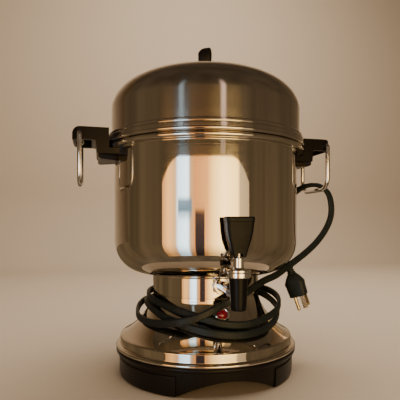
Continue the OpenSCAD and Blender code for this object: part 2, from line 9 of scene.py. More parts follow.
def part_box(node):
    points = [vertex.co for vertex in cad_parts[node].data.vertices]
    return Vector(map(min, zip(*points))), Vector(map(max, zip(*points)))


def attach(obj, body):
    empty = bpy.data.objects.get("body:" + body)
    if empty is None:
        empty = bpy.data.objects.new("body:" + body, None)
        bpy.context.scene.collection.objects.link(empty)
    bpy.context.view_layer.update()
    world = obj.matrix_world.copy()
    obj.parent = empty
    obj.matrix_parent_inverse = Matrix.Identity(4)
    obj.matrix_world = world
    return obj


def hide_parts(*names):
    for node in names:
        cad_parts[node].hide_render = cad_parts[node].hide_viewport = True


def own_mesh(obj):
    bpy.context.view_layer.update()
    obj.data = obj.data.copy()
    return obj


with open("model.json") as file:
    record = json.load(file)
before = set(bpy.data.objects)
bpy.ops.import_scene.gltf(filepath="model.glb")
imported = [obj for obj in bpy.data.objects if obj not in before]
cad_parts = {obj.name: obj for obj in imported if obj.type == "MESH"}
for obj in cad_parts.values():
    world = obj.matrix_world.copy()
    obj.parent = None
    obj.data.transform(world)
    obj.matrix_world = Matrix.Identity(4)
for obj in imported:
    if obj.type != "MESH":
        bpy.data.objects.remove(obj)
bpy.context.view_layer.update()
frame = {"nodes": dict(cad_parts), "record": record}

bl_info = {
    "name": "Coffee urn",
    "version": (1, 0, 0),
    "blender": (4, 5, 0),
    "location": "3D View > Sidebar > Coffee urn",
    "description": "Finishes an electric percolator urn round its packed frame",
    "category": "Mesh",
}

MM = 0.001
# where the camera stands in metres, and the level direction towards it
CAMERA_PLACE = (-0.139, -0.537, 0.181)
FACING = Vector((-0.2504, -0.9681, 0))
# the light card's distance from the urn's axis in metres, and half its spread round it
CARD_R = 1.15
CARD_HALF = radians(49.5)
# the card's colours from its left end to its right: (share of its width, light)
CARD_COLOURS = (
    (0.00, (0.56, 0.27, 0.10)), (0.08, (1.10, 0.56, 0.17)), (0.16, (0.72, 0.42, 0.20)),
    (0.20, (1.00, 1.32, 1.62)), (0.30, (1.20, 1.62, 2.00)), (0.33, (0.60, 0.38, 0.20)),
    (0.38, (0.70, 0.29, 0.09)), (0.52, (0.86, 0.40, 0.13)), (0.59, (1.50, 0.92, 0.29)),
    (0.70, (2.10, 1.42, 0.56)), (0.86, (1.80, 1.16, 0.38)), (0.89, (0.52, 0.37, 0.20)),
    (1.00, (0.40, 0.29, 0.16)))
# radius in millimetres of the round part of the floor that polished metal mirrors
FLOOR_NEAR = 190.0


def reach(node):
    """How far a frame node comes out from the urn's axis along +X, in millimetres."""
    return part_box(node)[1].x / MM


def low(node):
    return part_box(node)[0].z / MM


def high(node):
    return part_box(node)[1].z / MM


def at(x, y, z):
    """The place of a point given in millimetres."""
    return Matrix.Translation(Vector((x, y, z)) * MM)


def spun(degrees, axis):
    return Matrix.Rotation(radians(degrees), 4, axis)


# ---------- driving sizes, in millimetres: the outer ones are the frame's ----------

RIM_BEAD = 2.9
RIM_R = reach("urn_vessel") - RIM_BEAD
RIM_Z = high("urn_vessel") - RIM_BEAD
BOWL_R = RIM_R - 6.1
BOWL_Z = 123.0
CORNER_R = 40.0
NECK_R = 67.0
STEP_Z = 97.6
FLOOR_Z = low("urn_vessel")
HOLE_R = 19.6
SHEET = 0.9

LID_BEAD = 2.75
LID_R = reach("lid_shell") - LID_BEAD - 3.4
LID_BEAD_Z = RIM_Z + 6.0
CROWN = 6.0
DOME_RISE = 38.7
DOME_Z = high("lid_shell") - CROWN - DOME_RISE

BEAD_R = reach("base_skirt")
BAND_R = BEAD_R - 5.4
BASE_BEAD = 2.1
RING_Z = low("base_skirt")

TAP_Y = -131.0
SHANK_Z = 113.0
LEVER_TOP = high("tap_lever")
LEVER_W = 2 * reach("tap_lever")

PIVOT_X = 155.0
PIVOT_Z = 286.0
ARM_OUT = reach("right_bracket")
ARM_HALF = 30.0
WIRE_R = 2.85
LEG_Y = 35.0
BAR_Z = 229.0

LAMP_PLACE = at(0, -72, 81) @ spun(62, "X")
CORD_ANGLE = radians(155)
RELIEF_PLACE = (at(86 * sin(CORD_ANGLE), -86 * cos(CORD_ANGLE), 60) @ spun(125, "Z")
                @ spun(90, "Y"))
PLUG_PLACE = at(116.8, 1.2, 128) @ spun(-15, "Z") @ spun(180 - 19, "Y") @ spun(25, "Z")

# The cord's turns round the neck: angle from the front in degrees, distance from the axis, height.
WRAPS = [
    (167.8, 101.5, 60), (171.7, 108.5, 60), (177.3, 113.4, 60.3), (185.1, 115.6, 61.5),
    (192.9, 112.4, 63.2), (200.5, 105.8, 65.3), (208.4, 98.6, 68), (217.1, 92, 71.4),
    (226, 86, 75.5), (236, 81.4, 79.8), (247, 78, 83.6), (260, 76.3, 85.8), (275, 75.8, 85.4),
    (292, 77, 82.3), (308, 79.8, 77.5), (324, 83.4, 72.8), (340, 87.6, 67.6), (356, 91.8, 63.5),
    (374, 94, 61.5), (392, 94, 64), (410, 93, 70), (430, 91, 78), (452, 85, 87),
    (474, 77.5, 93.2), (495, 74, 97), (517, 72.8, 98.5), (540, 72.4, 98.5), (563, 72.4, 98.5),
    (586, 72.6, 98), (610, 73, 96.5), (634, 73.4, 94), (656, 74.2, 91), (676, 75.6, 87),
    (692, 78, 82.5), (706, 81, 77.5), (720, 84.6, 72.6), (736, 87.8, 70.6), (752, 90.5, 73.8),
    (772, 93.5, 80.5), (792, 93, 88.5), (812, 90, 94), (834, 85, 96.3), (855, 82.5, 95.5),
    (878, 84, 91.5), (900, 86, 87.5), (922, 88.5, 84), (941, 91, 81), (951, 91.6, 79.6),
    (963, 89.8, 76.4), (978, 87.2, 72.5), (996, 86.6, 70.5), (1014, 86.8, 69.6), (1030, 88.4, 71),
    (1046, 91, 75.4), (1058, 88.5, 80), (1070, 84.5, 87.5), (1082, 79.5, 95),
    (1094.8, 80.4, 101.4), (1109.4, 76, 107)]
# From the neck up over the right ring's bar and down to the plug.
LOOP = [
    (37.3, -66.2, 107), (58, -52, 114), (80, -42, 120), (100, -28, 127.5), (118, -20, 136),
    (137, -14, 147), (154, -10, 160), (168, -7.5, 176), (176.5, -6, 193), (178, -5, 210),
    (173, -5, 226), (161, -3, 236), (147, 6, 236.5), (134, 16, 228), (124, 20, 213),
    (120.5, 17, 196), (119.3, 12, 176), (119, 7, 158), (114, 2.8, 141), (116.8, 1.2, 128)]


# ---------- settings that a user would change ----------

class UrnSizes(bpy.types.PropertyGroup):
    cord_width: FloatProperty(
        name="Cord width", description="Width of the flat three-core cord",
        default=8.8 * MM, min=6 * MM, max=10 * MM, unit="LENGTH", subtype="DISTANCE")
    cord_thickness: FloatProperty(
        name="Cord thickness", description="Thickness of the flat cord over its cores",
        default=4.6 * MM, min=3 * MM, max=6 * MM, unit="LENGTH", subtype="DISTANCE")
    turning: IntProperty(
        name="Turning steps", description="Facets round each large turned shell",
        default=192, min=64, max=256)


class UrnColours(bpy.types.PropertyGroup):
    steel: FloatVectorProperty(
        name="Polished steel", description="Tint of the polished bowl and base",
        default=(0.65, 0.59, 0.51), size=3, min=0, max=1, subtype="COLOR")
    brushed: FloatVectorProperty(
        name="Brushed steel", description="Tint of the brushed lid",
        default=(0.57, 0.52, 0.47), size=3, min=0, max=1, subtype="COLOR")
    chrome: FloatVectorProperty(
        name="Chrome", description="Tint of the plated wire and tap trim",
        default=(0.80, 0.79, 0.78), size=3, min=0, max=1, subtype="COLOR")
    phenolic: FloatVectorProperty(
        name="Phenolic", description="Black-brown of the moulded handles and base",
        default=(0.007, 0.0055, 0.0045), size=3, min=0, max=1, subtype="COLOR")
    nylon: FloatVectorProperty(
        name="Nylon", description="Black of the tap's body and lever",
        default=(0.007, 0.007, 0.0075), size=3, min=0, max=1, subtype="COLOR")
    cord: FloatVectorProperty(
        name="Cord", description="Black of the cord's jacket and plug",
        default=(0.011, 0.016, 0.017), size=3, min=0, max=1, subtype="COLOR")
    lens: FloatVectorProperty(
        name="Lens", description="Red of the signal lamp's lens",
        default=(0.32, 0.003, 0.024), size=3, min=0, max=1, subtype="COLOR")
    floor: FloatVectorProperty(
        name="Floor", description="Colour of the studio floor and backdrop",
        default=(0.52, 0.42, 0.31), size=3, min=0, max=1, subtype="COLOR")


class UrnStudio(bpy.types.PropertyGroup):
    lens: FloatProperty(
        name="Lens", description="Focal length of the camera on a 36 mm wide frame, in millimetres",
        default=38.7, min=20, max=120)
    card: FloatProperty(
        name="Light card", description="Brightness of the wide light card behind the camera",
        default=2.95, min=0, max=20)
    strip: FloatProperty(
        name="Streak lights", description="Brightness of the two narrow strips over the light card",
        default=3.0, min=0, max=50)
    fill: FloatProperty(
        name="Fill", description="Power of the soft overhead light, in watts",
        default=16.0, min=0, max=200)
    room: FloatProperty(
        name="Room", description="Brightness of the dim warm room round the set",
        default=0.89, min=0, max=5)


# ---------- outlines ----------

def arc(centre, radius, start, end, steps=8):
    """Points on an arc, with angles in degrees."""
    angles = [radians(start + (end - start) * i / steps) for i in range(steps + 1)]
    return [(centre[0] + radius * cos(a), centre[1] + radius * sin(a)) for a in angles]


def bezier(a, b, c, d, steps=24):
    points = []
    for i in range(steps + 1):
        t = i / steps
        weights = ((1 - t) ** 3, 3 * t * (1 - t) ** 2, 3 * t * t * (1 - t), t ** 3)
        points.append(tuple(sum(w * p[k] for w, p in zip(weights, (a, b, c, d))) for k in (0, 1)))
    return points


def rounded(corners, steps=6, loop=False):
    """The line through corners of (across, up, radius), each rounded to its radius."""
    path = []
    count = len(corners)
    for i, (x, y, r) in enumerate(corners):
        here = Vector((x, y))
        if r == 0 or (not loop and i in (0, count - 1)):
            path.append((x, y))
            continue
        before = (Vector(corners[i - 1][:2]) - here).normalized()
        after = (Vector(corners[(i + 1) % count][:2]) - here).normalized()
        half = before.angle(after) / 2
        centre = here + (before + after).normalized() * r / sin(half)
        start = here + before * r / tan(half) - centre
        end = here + after * r / tan(half) - centre
        swing = start.angle_signed(end)
        for k in range(steps + 1):
            turned_by = Matrix.Rotation(-swing * k / steps, 2) @ start
            path.append(tuple(centre + turned_by))
    return path


def shifted(path, t):
    """The path moved sideways by t, to its right for a positive t."""
    moved = []
    last = len(path) - 1
    for i, point in enumerate(path):
        sides = []
        for a, b in ((max(i - 1, 0), max(i, 1)), (min(i, last - 1), min(i + 1, last))):
            along = Vector(path[b]) - Vector(path[a])
            sides.append(Vector((along.y, -along.x)).normalized())
        mitre = (sides[0] + sides[1]).normalized()
        moved.append(tuple(Vector(point) + mitre * t / max(0.5, mitre.dot(sides[0]))))
    return moved


def braced(path, closed, gap=0.7):
    """The path with a point near each end of its long straights, so that they shade as straight."""
    chain = path + path[:1] if closed else path
    full = []
    for here, there in zip(chain, chain[1:]):
        full.append(here)
        step = Vector(there) - Vector(here)
        if step.length > 6 * gap:
            share = gap / step.length
            full.append(tuple(Vector(here) + step * share))
            full.append(tuple(Vector(there) - step * share))
    return full if closed else full + [path[-1]]


def square(corner):
    """A square of unit size round the axis, with rounded corners."""
    sides = ((-0.5, -0.5), (0.5, -0.5), (0.5, 0.5), (-0.5, 0.5))
    return rounded([(x, y, corner) for x, y in sides], 5, loop=True)


def even(corners, steps=8):
    """A closed plan that is alike on both sides of the X axis, from the corners of its far side."""
    return rounded([(x, -y, r) for x, y, r in corners] + corners[::-1], steps, loop=True)


def walled(path, t):
    """A closed outline of sheet metal of thickness t, to the right of the path."""
    return path + shifted(path, t)[::-1]


# ---------- modelling ----------

def clear():
    if bpy.context.mode != "OBJECT":
        bpy.ops.object.mode_set(mode="OBJECT")
    bpy.ops.object.select_all(action="DESELECT")


def named(piece, name):
    piece.name = name
    piece.data.name = name
    return piece


def take(piece):
    """Selects one piece alone and makes it the active one."""
    clear()
    piece.select_set(True)
    bpy.context.view_layer.objects.active = piece


def opened(piece):
    """Opens one piece in edit mode, with all of it selected."""
    take(piece)
    bpy.ops.object.mode_set(mode="EDIT")
    bpy.ops.mesh.select_all(action="SELECT")


def drawn(name, points, closed=True):
    """A chain of edges through points, extruded from one vertex on and left in edit mode."""
    clear()
    bpy.ops.mesh.primitive_plane_add(size=MM, location=(0, 0, 0))
    piece = named(bpy.context.object, name)
    opened(piece)
    bpy.ops.mesh.merge(type="CENTER")
    bpy.ops.transform.translate(value=points[0])
    chain = points + points[:1] if closed else points
    for here, there in zip(chain, chain[1:]):
        bpy.ops.mesh.extrude_region_move(TRANSFORM_OT_translate={"value": there - here})
    bpy.ops.mesh.select_all(action="SELECT")
    bpy.ops.mesh.remove_doubles(threshold=1e-7)
    return piece


def face_outwards():
    bpy.ops.mesh.select_all(action="SELECT")
    bpy.ops.mesh.remove_doubles(threshold=1e-6)
    bpy.ops.mesh.normals_make_consistent(inside=False)
    bpy.ops.object.mode_set(mode="OBJECT")


def turned(name, outline, steps=64, closed=True, angle=tau):
    """Spins an outline of (radius, height) in millimetres round Z. An open one ends on Z."""
    points = [Vector((r, 0, z)) * MM for r, z in braced(outline, closed)]
    piece = drawn(name, points, closed)
    bpy.ops.mesh.select_all(action="SELECT")
    bpy.ops.mesh.spin(steps=steps, angle=-angle, center=(0, 0, 0), axis=(0, 0, 1))
    face_outwards()
    return piece


def extruded(name, outline, depth, place=Matrix()):
    """A flat outline in millimetres on XY, extruded along Z by depth and put in its place."""
    piece = drawn(name, [Vector((x, y, 0)) * MM for x, y in outline])
    bpy.ops.mesh.edge_face_add()
    bpy.ops.mesh.extrude_region_move(TRANSFORM_OT_translate={"value": (0, 0, depth * MM)})
    face_outwards()
    return placed(piece, place)


def lofted(name, outline, levels):
    """Extrudes a flat outline of unit size up through levels of (height, width, depth, x, y)."""
    z, w, d, x, y = levels[0]
    piece = drawn(name, [Vector((p[0] * w + x, p[1] * d + y, z)) * MM for p in outline])
    bpy.ops.mesh.edge_face_add()
    for before, after in zip(levels, levels[1:]):
        rise = Vector((after[3] - before[3], after[4] - before[4], after[0] - before[0])) * MM
        bpy.ops.mesh.extrude_region_move(TRANSFORM_OT_translate={"value": rise})
        centre = Vector((after[3], after[4], after[0])) * MM
        scale = (after[1] / before[1], after[2] / before[2], 1)
        bpy.ops.transform.resize(value=scale, center_override=centre)
    face_outwards()
    return piece


def placed(piece, place):
    """Moves a piece and bakes its place into the mesh."""
    take(piece)
    piece.matrix_world = place
    bpy.ops.object.transform_apply(location=True, rotation=True, scale=True)
    return piece


def apply(piece, kind, **settings):
    take(piece)
    modifier = piece.modifiers.new(kind.title(), kind)
    for key, value in settings.items():
        setattr(modifier, key, value)
    bpy.ops.object.modifier_apply(modifier=modifier.name)
    return piece


def combine(piece, others, operation):
    """Cuts, joins or intersects a piece with others, which are used up."""
    for other in others:
        apply(piece, "BOOLEAN", object=other, operation=operation, solver="EXACT")
        bpy.data.objects.remove(other)
    opened(piece)
    bpy.ops.mesh.remove_doubles(threshold=2e-6)
    bpy.ops.mesh.dissolve_degenerate(threshold=2e-6)
    bpy.ops.object.mode_set(mode="OBJECT")
    return piece


def soften(piece, width, segments=3, angle=32):
    """Rounds the sharp edges of a moulded part."""
    return apply(piece, "BEVEL", width=width, segments=segments, limit_method="ANGLE",
                 angle_limit=radians(angle), use_clamp_overlap=True, miter_outer="MITER_ARC",
                 loop_slide=False)


def joined(name, pieces):
    """Makes one piece of several."""
    take(pieces[0])
    for piece in pieces[1:]:
        piece.select_set(True)
    bpy.ops.object.join()
    return named(pieces[0], name)


def mirrored(piece, name):
    """A copy of a piece across the plane between the two handles."""
    take(piece)
    bpy.ops.object.duplicate()
    copy = named(bpy.context.object, name)
    copy.scale = (-1, 1, 1)
    bpy.ops.object.transform_apply(location=True, rotation=True, scale=True)
    opened(copy)
    face_outwards()
    return copy


def finished(piece, body, slot, nodes=(), angle=34):
    """Smooths a piece, gives it its finish and sets it on its body in place of its frame nodes."""
    take(piece)
    bpy.ops.object.shade_smooth_by_angle(angle=radians(angle))
    piece.data.materials.clear()
    piece.data.materials.append(bpy.data.materials[slot])
    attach(piece, body)
    if nodes:
        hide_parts(*nodes)
    return piece


def eased(points, steps=6):
    """A smooth curve through points, with steps between neighbours."""
    curve = []
    last = len(points) - 1
    for i in range(last):
        a, b = points[max(i - 1, 0)], points[i]
        c, d = points[i + 1], points[min(i + 2, last)]
        for k in range(steps):
            t = k / steps
            curve.append(0.5 * (2 * b + (c - a) * t + (2 * a - 5 * b + 4 * c - d) * t * t
                                + (3 * b - a - 3 * c + d) * t ** 3))
    curve.append(points[last])
    return curve


def swept(name, path, faces, section):
    """A tube along path. Section is a list of (across, out) in metres; out follows each face."""
    vertices, polygons = [], []
    last = len(path) - 1
    count = len(section)
    for i, (point, face) in enumerate(zip(path, faces)):
        along = (path[min(i + 1, last)] - path[max(i - 1, 0)]).normalized()
        out = (face - along * face.dot(along)).normalized()
        across = along.cross(out)
        vertices += [point + across * u + out * v for u, v in section]
    for i in range(last):
        for k in range(count):
            m = (k + 1) % count
            here, there = i * count, (i + 1) * count
            polygons.append((here + k, there + k, there + m, here + m))
    polygons += [tuple(range(count)), tuple(last * count + k for k in reversed(range(count)))]
    mesh = bpy.data.meshes.new(name)
    mesh.from_pydata([tuple(v) for v in vertices], [], polygons)
    piece = bpy.data.objects.new(name, mesh)
    bpy.context.collection.objects.link(piece)
    opened(piece)
    face_outwards()
    return piece


def circle(radius, sides=20):
    return [(radius * cos(tau * k / sides), radius * sin(tau * k / sides)) for k in range(sides)]


# ---------- materials ----------

METAL = [("Metallic", 1.0)]


def fill(tree, node, values):
    """Fills a node's sockets from (name, value or other node's output)."""
    for socket, value in values:
        if isinstance(value, bpy.types.NodeSocket):
            tree.links.new(value, node.inputs[socket])
        else:
            node.inputs[socket].default_value = value
    return node


def add(tree, kind, values=(), **settings):
    """A new shader node with its settings made and its sockets filled."""
    node = tree.nodes.new("ShaderNode" + kind)
    for key, value in settings.items():
        setattr(node, key, value)
    return fill(tree, node, values)


def finish(name):
    """A new material and its Principled shader. The frame's plain one of that name steps aside."""
    plain = bpy.data.materials.get(name)
    if plain:
        plain.name = name + "_plain"
    material = bpy.data.materials.new(name)
    material.use_nodes = True
    tree = material.node_tree
    return tree, tree.nodes["Principled BSDF"]


def place(tree, scale=(1, 1, 1)):
    """Object coordinates, stretched."""
    where = add(tree, "TexCoord").outputs["Object"]
    return add(tree, "Mapping", [("Vector", where), ("Scale", scale)]).outputs[0]


def noise(tree, vector, scale, detail=3.0, roughness=0.5):
    return add(tree, "TexNoise", [("Vector", vector), ("Scale", scale), ("Detail", detail),
                                  ("Roughness", roughness)]).outputs["Fac"]


def cells(tree, scale):
    """The distance to the middle of the nearest of many small cells."""
    return add(tree, "TexVoronoi", [("Vector", place(tree)), ("Scale", scale)]).outputs["Distance"]


def spread(tree, value, low_in, high_in, low_out, high_out):
    """A value carried from one span to another and held inside it."""
    return add(tree, "MapRange", [("Value", value), ("From Min", low_in), ("From Max", high_in),
                                  ("To Min", low_out), ("To Max", high_out)]).outputs[0]


def maths(tree, operation, a, b=0.0):
    return add(tree, "Math", [(0, a), (1, b)], operation=operation).outputs[0]


def times(tree, a, b):
    return maths(tree, "MULTIPLY", a, b)


def tinted(tree, factor, first, second):
    """Two colours, each given or another node's output, mixed by a factor."""
    ends = [c if isinstance(c, bpy.types.NodeSocket) else (*c, 1) for c in (first, second)]
    # a Mix node has sockets of each type under one name: its colours are 6 and 7
    return add(tree, "Mix", [(0, factor), (6, ends[0]), (7, ends[1])], data_type="RGBA").outputs[2]


def shaded(tree, factor, colour, first, second):
    """One colour made darker or lighter from first to second times itself."""
    ends = [tuple(min(1.0, c * k) for c in colour) for k in (first, second)]
    return tinted(tree, factor, *ends)


def surface(tree, shader, colour, rough, layers, constants=()):
    """Gives a shader its colour, roughness and constants, and chains its bump layers of
    (height, strength, distance in metres)."""
    normal = []
    for height, strength, distance in layers:
        bump = add(tree, "Bump", [("Height", height), ("Strength", strength),
                                  ("Distance", distance)] + normal)
        normal = [("Normal", bump.outputs[0])]
    fill(tree, shader, [("Base Color", colour), ("Roughness", rough), *constants, *normal])


def round_grain(tree, scale, drift=9.0):
    """Fine lines that run round the axis, each one fading in and out along its way."""
    where = place(tree)
    apart = add(tree, "SeparateXYZ", [(0, where)])
    flat = add(tree, "CombineXYZ", [(0, apart.outputs[0]), (1, apart.outputs[1])]).outputs[0]
    out = add(tree, "VectorMath", [(0, flat)], operation="LENGTH").outputs["Value"]
    wander = noise(tree, where, drift, 2.0)
    lines = add(tree, "CombineXYZ", [
        (0, times(tree, out, scale)), (1, times(tree, apart.outputs[2], scale)),
        (2, times(tree, wander, 3.0))]).outputs[0]
    return noise(tree, lines, 1.0, 4.0, 0.65)


def brushed_round(tree, amount):
    """Constants that spread a shader's highlights across lines that run round the axis."""
    tangent = add(tree, "Tangent", direction_type="RADIAL", axis="Z").outputs[0]
    return METAL + [("Anisotropic", amount), ("Anisotropic Rotation", 0.25), ("Tangent", tangent)]


def polished_steel(colours):
    """Mirror-polished sheet: sparse turned scratches, smudges and a slight waver from spinning."""
    tree, shader = finish("polished_steel")
    lines = round_grain(tree, 7000)
    smudge = noise(tree, place(tree), 16, 5.0, 0.62)
    waver = noise(tree, place(tree, scale=(1, 1, 0.6)), 11, 1.0)
    rough = maths(tree, "ADD", spread(tree, smudge, 0.42, 0.72, 0.02, 0.05),
                  spread(tree, lines, 0.52, 0.68, 0.0, 0.13))
    surface(tree, shader, shaded(tree, lines, colours.steel, 0.97, 1.02), rough,
            [(waver, 0.10, 0.0006), (lines, 0.03, 0.00001)], brushed_round(tree, 0.8))


def brushed_steel(colours):
    """Sheet brushed round the axis, with soft streaks of light across the brushing."""
    tree, shader = finish("brushed_steel")
    lines = round_grain(tree, 3800, 7.0)
    broad = round_grain(tree, 420, 4.0)
    cloud = noise(tree, place(tree), 9, 4.0)
    rough = maths(tree, "ADD", spread(tree, broad, 0.3, 0.7, 0.10, 0.13),
                  spread(tree, cloud, 0.3, 0.7, 0.0, 0.03))
    surface(tree, shader, shaded(tree, lines, colours.brushed, 0.90, 1.06), rough,
            [(lines, 0.16, 0.00006)], brushed_round(tree, 0.92))


def chrome_plate(colours):
    """Bright plate over wire and turned trim, with fine wear and faint ripple."""
    tree, shader = finish("chrome_plate")
    wear = noise(tree, place(tree), 90, 5.0, 0.6)
    surface(tree, shader, shaded(tree, wear, colours.chrome, 0.9, 1.05),
            spread(tree, wear, 0.4, 0.75, 0.05, 0.16),
            [(noise(tree, place(tree), 60, 2.0), 0.12, 0.0003),
             (noise(tree, place(tree), 900, 3.0), 0.05, 0.00004)], METAL)


def satin_steel():
    """Plain turned sheet with visible tool lines."""
    tree, shader = finish("satin_steel")
    lines = round_grain(tree, 1500)
    surface(tree, shader, tinted(tree, lines, (0.46, 0.46, 0.46), (0.66, 0.66, 0.67)),
            spread(tree, lines, 0.3, 0.7, 0.24, 0.38), [(lines, 0.25, 0.00008)], METAL)


def zinc_steel():
    """Plated hardware with a spangled, slightly cloudy surface."""
    tree, shader = finish("zinc_steel")
    spangle = cells(tree, 420)
    surface(tree, shader, tinted(tree, spangle, (0.50, 0.51, 0.53), (0.70, 0.71, 0.72)),
            spread(tree, spangle, 0, 1, 0.28, 0.46), [(spangle, 0.15, 0.00005)], METAL)


def yellow_metal(name, dull, bright):
    """Rolled brass strip or turned brass, with fine drawn lines and tarnish."""
    tree, shader = finish(name)
    drawn_lines = noise(tree, place(tree, scale=(1, 1, 0.05)), 1400, 3.0)
    tarnish = noise(tree, place(tree), 140, 4.0)
    surface(tree, shader, tinted(tree, spread(tree, tarnish, 0.35, 0.7, 0, 1), bright, dull),
            spread(tree, tarnish, 0.3, 0.7, 0.16, 0.34), [(drawn_lines, 0.2, 0.00005)], METAL)


def moulded(name, colour, gloss, grain, sheen, flecks):
    """Moulded black plastic: an even sheen, faint flow marks, dust and handling scuffs."""
    tree, shader = finish(name)
    flow = noise(tree, place(tree, scale=(1, 1, 2.5)), 26, 3.0)
    dust = noise(tree, place(tree), 1300, 2.0, 0.7)
    scuff = noise(tree, place(tree), 210, 6.0, 0.7)
    rough = maths(tree, "ADD", spread(tree, flow, 0.3, 0.7, gloss, gloss + 0.07),
                  spread(tree, scuff, 0.5, 0.8, 0, 0.14))
    dusty = spread(tree, dust, 0.62, 0.78, 0, 0.25 + flecks)
    surface(tree, shader, tinted(tree, dusty, colour, tuple(c + 0.03 for c in colour)), rough,
            [(flow, 0.15, 0.0004), (scuff, 0.06, 0.0001),
             (noise(tree, place(tree), grain, 2.0), 0.08, 0.00005)],
            [("Specular IOR Level", sheen)])


def cord_rubber(colours):
    """Vinyl jacket and moulded rubber: half matt, dusty in places, with a fine drawn grain."""
    tree, shader = finish("cord_rubber")
    dust = noise(tree, place(tree), 340, 5.0, 0.65)
    haze = noise(tree, place(tree), 24, 3.0)
    rough = maths(tree, "ADD", spread(tree, haze, 0.3, 0.7, 0.34, 0.46),
                  spread(tree, dust, 0.4, 0.8, 0, 0.12))
    dusty = spread(tree, dust, 0.45, 0.85, 0, 0.7)
    surface(tree, shader, tinted(tree, dusty, colours.cord, (0.038, 0.044, 0.044)), rough,
            [(dust, 0.12, 0.0001), (noise(tree, place(tree), 2400, 2.0), 0.12, 0.00004)],
            [("Specular IOR Level", 0.2)])


def soft_rubber(name, colour, rough):
    """Seal, sleeve or ceramic: one plain colour with a fine mottled surface."""
    tree, shader = finish(name)
    mottle = noise(tree, place(tree), 600, 4.0)
    surface(tree, shader, shaded(tree, mottle, colour, 0.82, 1.12),
            spread(tree, mottle, 0.3, 0.7, rough - 0.06, rough + 0.06), [(mottle, 0.2, 0.0001)])


def red_lens(colours):
    """Clear red lens with the glow of the lamp inside it and a moulded inner texture, its facets
    given painted shade that darkens each towards its edges.
    """
    tree, shader = finish("red_lens")
    facets_and_painted_shade = cells(tree, 700)
    # painted shade: the colour of each moulded facet darkens towards its edges
    surface(tree, shader, shaded(tree, facets_and_painted_shade, colours.lens, 1, 0.45),
            spread(tree, facets_and_painted_shade, 0, 1, 0.06, 0.14), [(facets_and_painted_shade, 0.35, 0.0002)],
            [("Coat Weight", 0.6), ("Coat Roughness", 0.04),
             ("Emission Color", (*colours.lens, 1)), ("Emission Strength", 0.05)])


def studio_floor(colours):
    """Plain pale card with a hardly visible fibre."""
    tree, shader = finish("studio_floor")
    fibre = noise(tree, place(tree), 300, 4.0)
    surface(tree, shader, shaded(tree, fibre, colours.floor, 0.97, 1.03), 0.85,
            [(fibre, 0.05, 0.0002)], [("Specular IOR Level", 0.2)])


def emission(name, maker):
    """A material that only gives light, with the colour and strength that a maker works out."""
    material = bpy.data.materials.new(name)
    material.use_nodes = True
    tree = material.node_tree
    tree.nodes.remove(tree.nodes["Principled BSDF"])
    colour, strength = maker(tree)
    light = add(tree, "Emission", [("Color", colour), ("Strength", strength)])
    tree.links.new(light.outputs[0], tree.nodes["Material Output"].inputs["Surface"])
    return material


def make_materials(colours):
    for tinted_finish in (polished_steel, brushed_steel, chrome_plate, cord_rubber, red_lens,
                          studio_floor):
        tinted_finish(colours)
    satin_steel()
    zinc_steel()
    yellow_metal("brass", (0.35, 0.24, 0.10), (0.72, 0.54, 0.26))
    yellow_metal("plug_brass", (0.46, 0.36, 0.20), (0.84, 0.74, 0.54))
    moulded("black_phenolic", colours.phenolic, gloss=0.27, grain=700, sheen=0.18, flecks=0.05)
    moulded("black_nylon", colours.nylon, gloss=0.24, grain=1100, sheen=0.11, flecks=0.0)
    soft_rubber("silicone", (0.55, 0.17, 0.08), 0.55)
    soft_rubber("ceramic", (0.74, 0.71, 0.64), 0.48)
    soft_rubber("wire_sleeve", (0.70, 0.69, 0.62), 0.7)


# ---------- operators ----------

class UrnStep(bpy.types.Operator):
    """Base of the steps, each of which makes one piece or one group of like pieces"""
    bl_idname = "urn.step"
    bl_label = "Step"
    bl_options = {"REGISTER"}

    def execute(self, context):
        self.make(context.scene.urn_sizes, context.scene.urn_colours, context.scene.urn_studio)
        return {"FINISHED"}


class URN_OT_camera(UrnStep):
    """Set the camera level, a little left of the tap"""
    bl_idname = "urn.camera"
    bl_label = "Camera"

    def make(self, sizes, colours, studio):
        clear()
        bpy.ops.object.camera_add(location=CAMERA_PLACE)
        camera = bpy.context.object
        camera.rotation_euler = (-FACING).to_track_quat("-Z", "Y").to_euler()
        camera.data.lens = studio.lens
        camera.data.sensor_width = 36
        camera.data.shift_x = -0.0138
        camera.data.shift_y = 0.0645
        bpy.context.scene.camera = camera


class URN_OT_finishes(UrnStep):
    """Make every finish and give the frame's own nodes theirs"""
    bl_idname = "urn.finishes"
    bl_label = "Finishes"

    def make(self, sizes, colours, studio):
        make_materials(colours)
        for row in frame["record"]["subparts"]:
            node = frame["nodes"][row["node"]]
            node.data.materials.clear()
            node.data.materials.append(bpy.data.materials[row["material_slot"]])


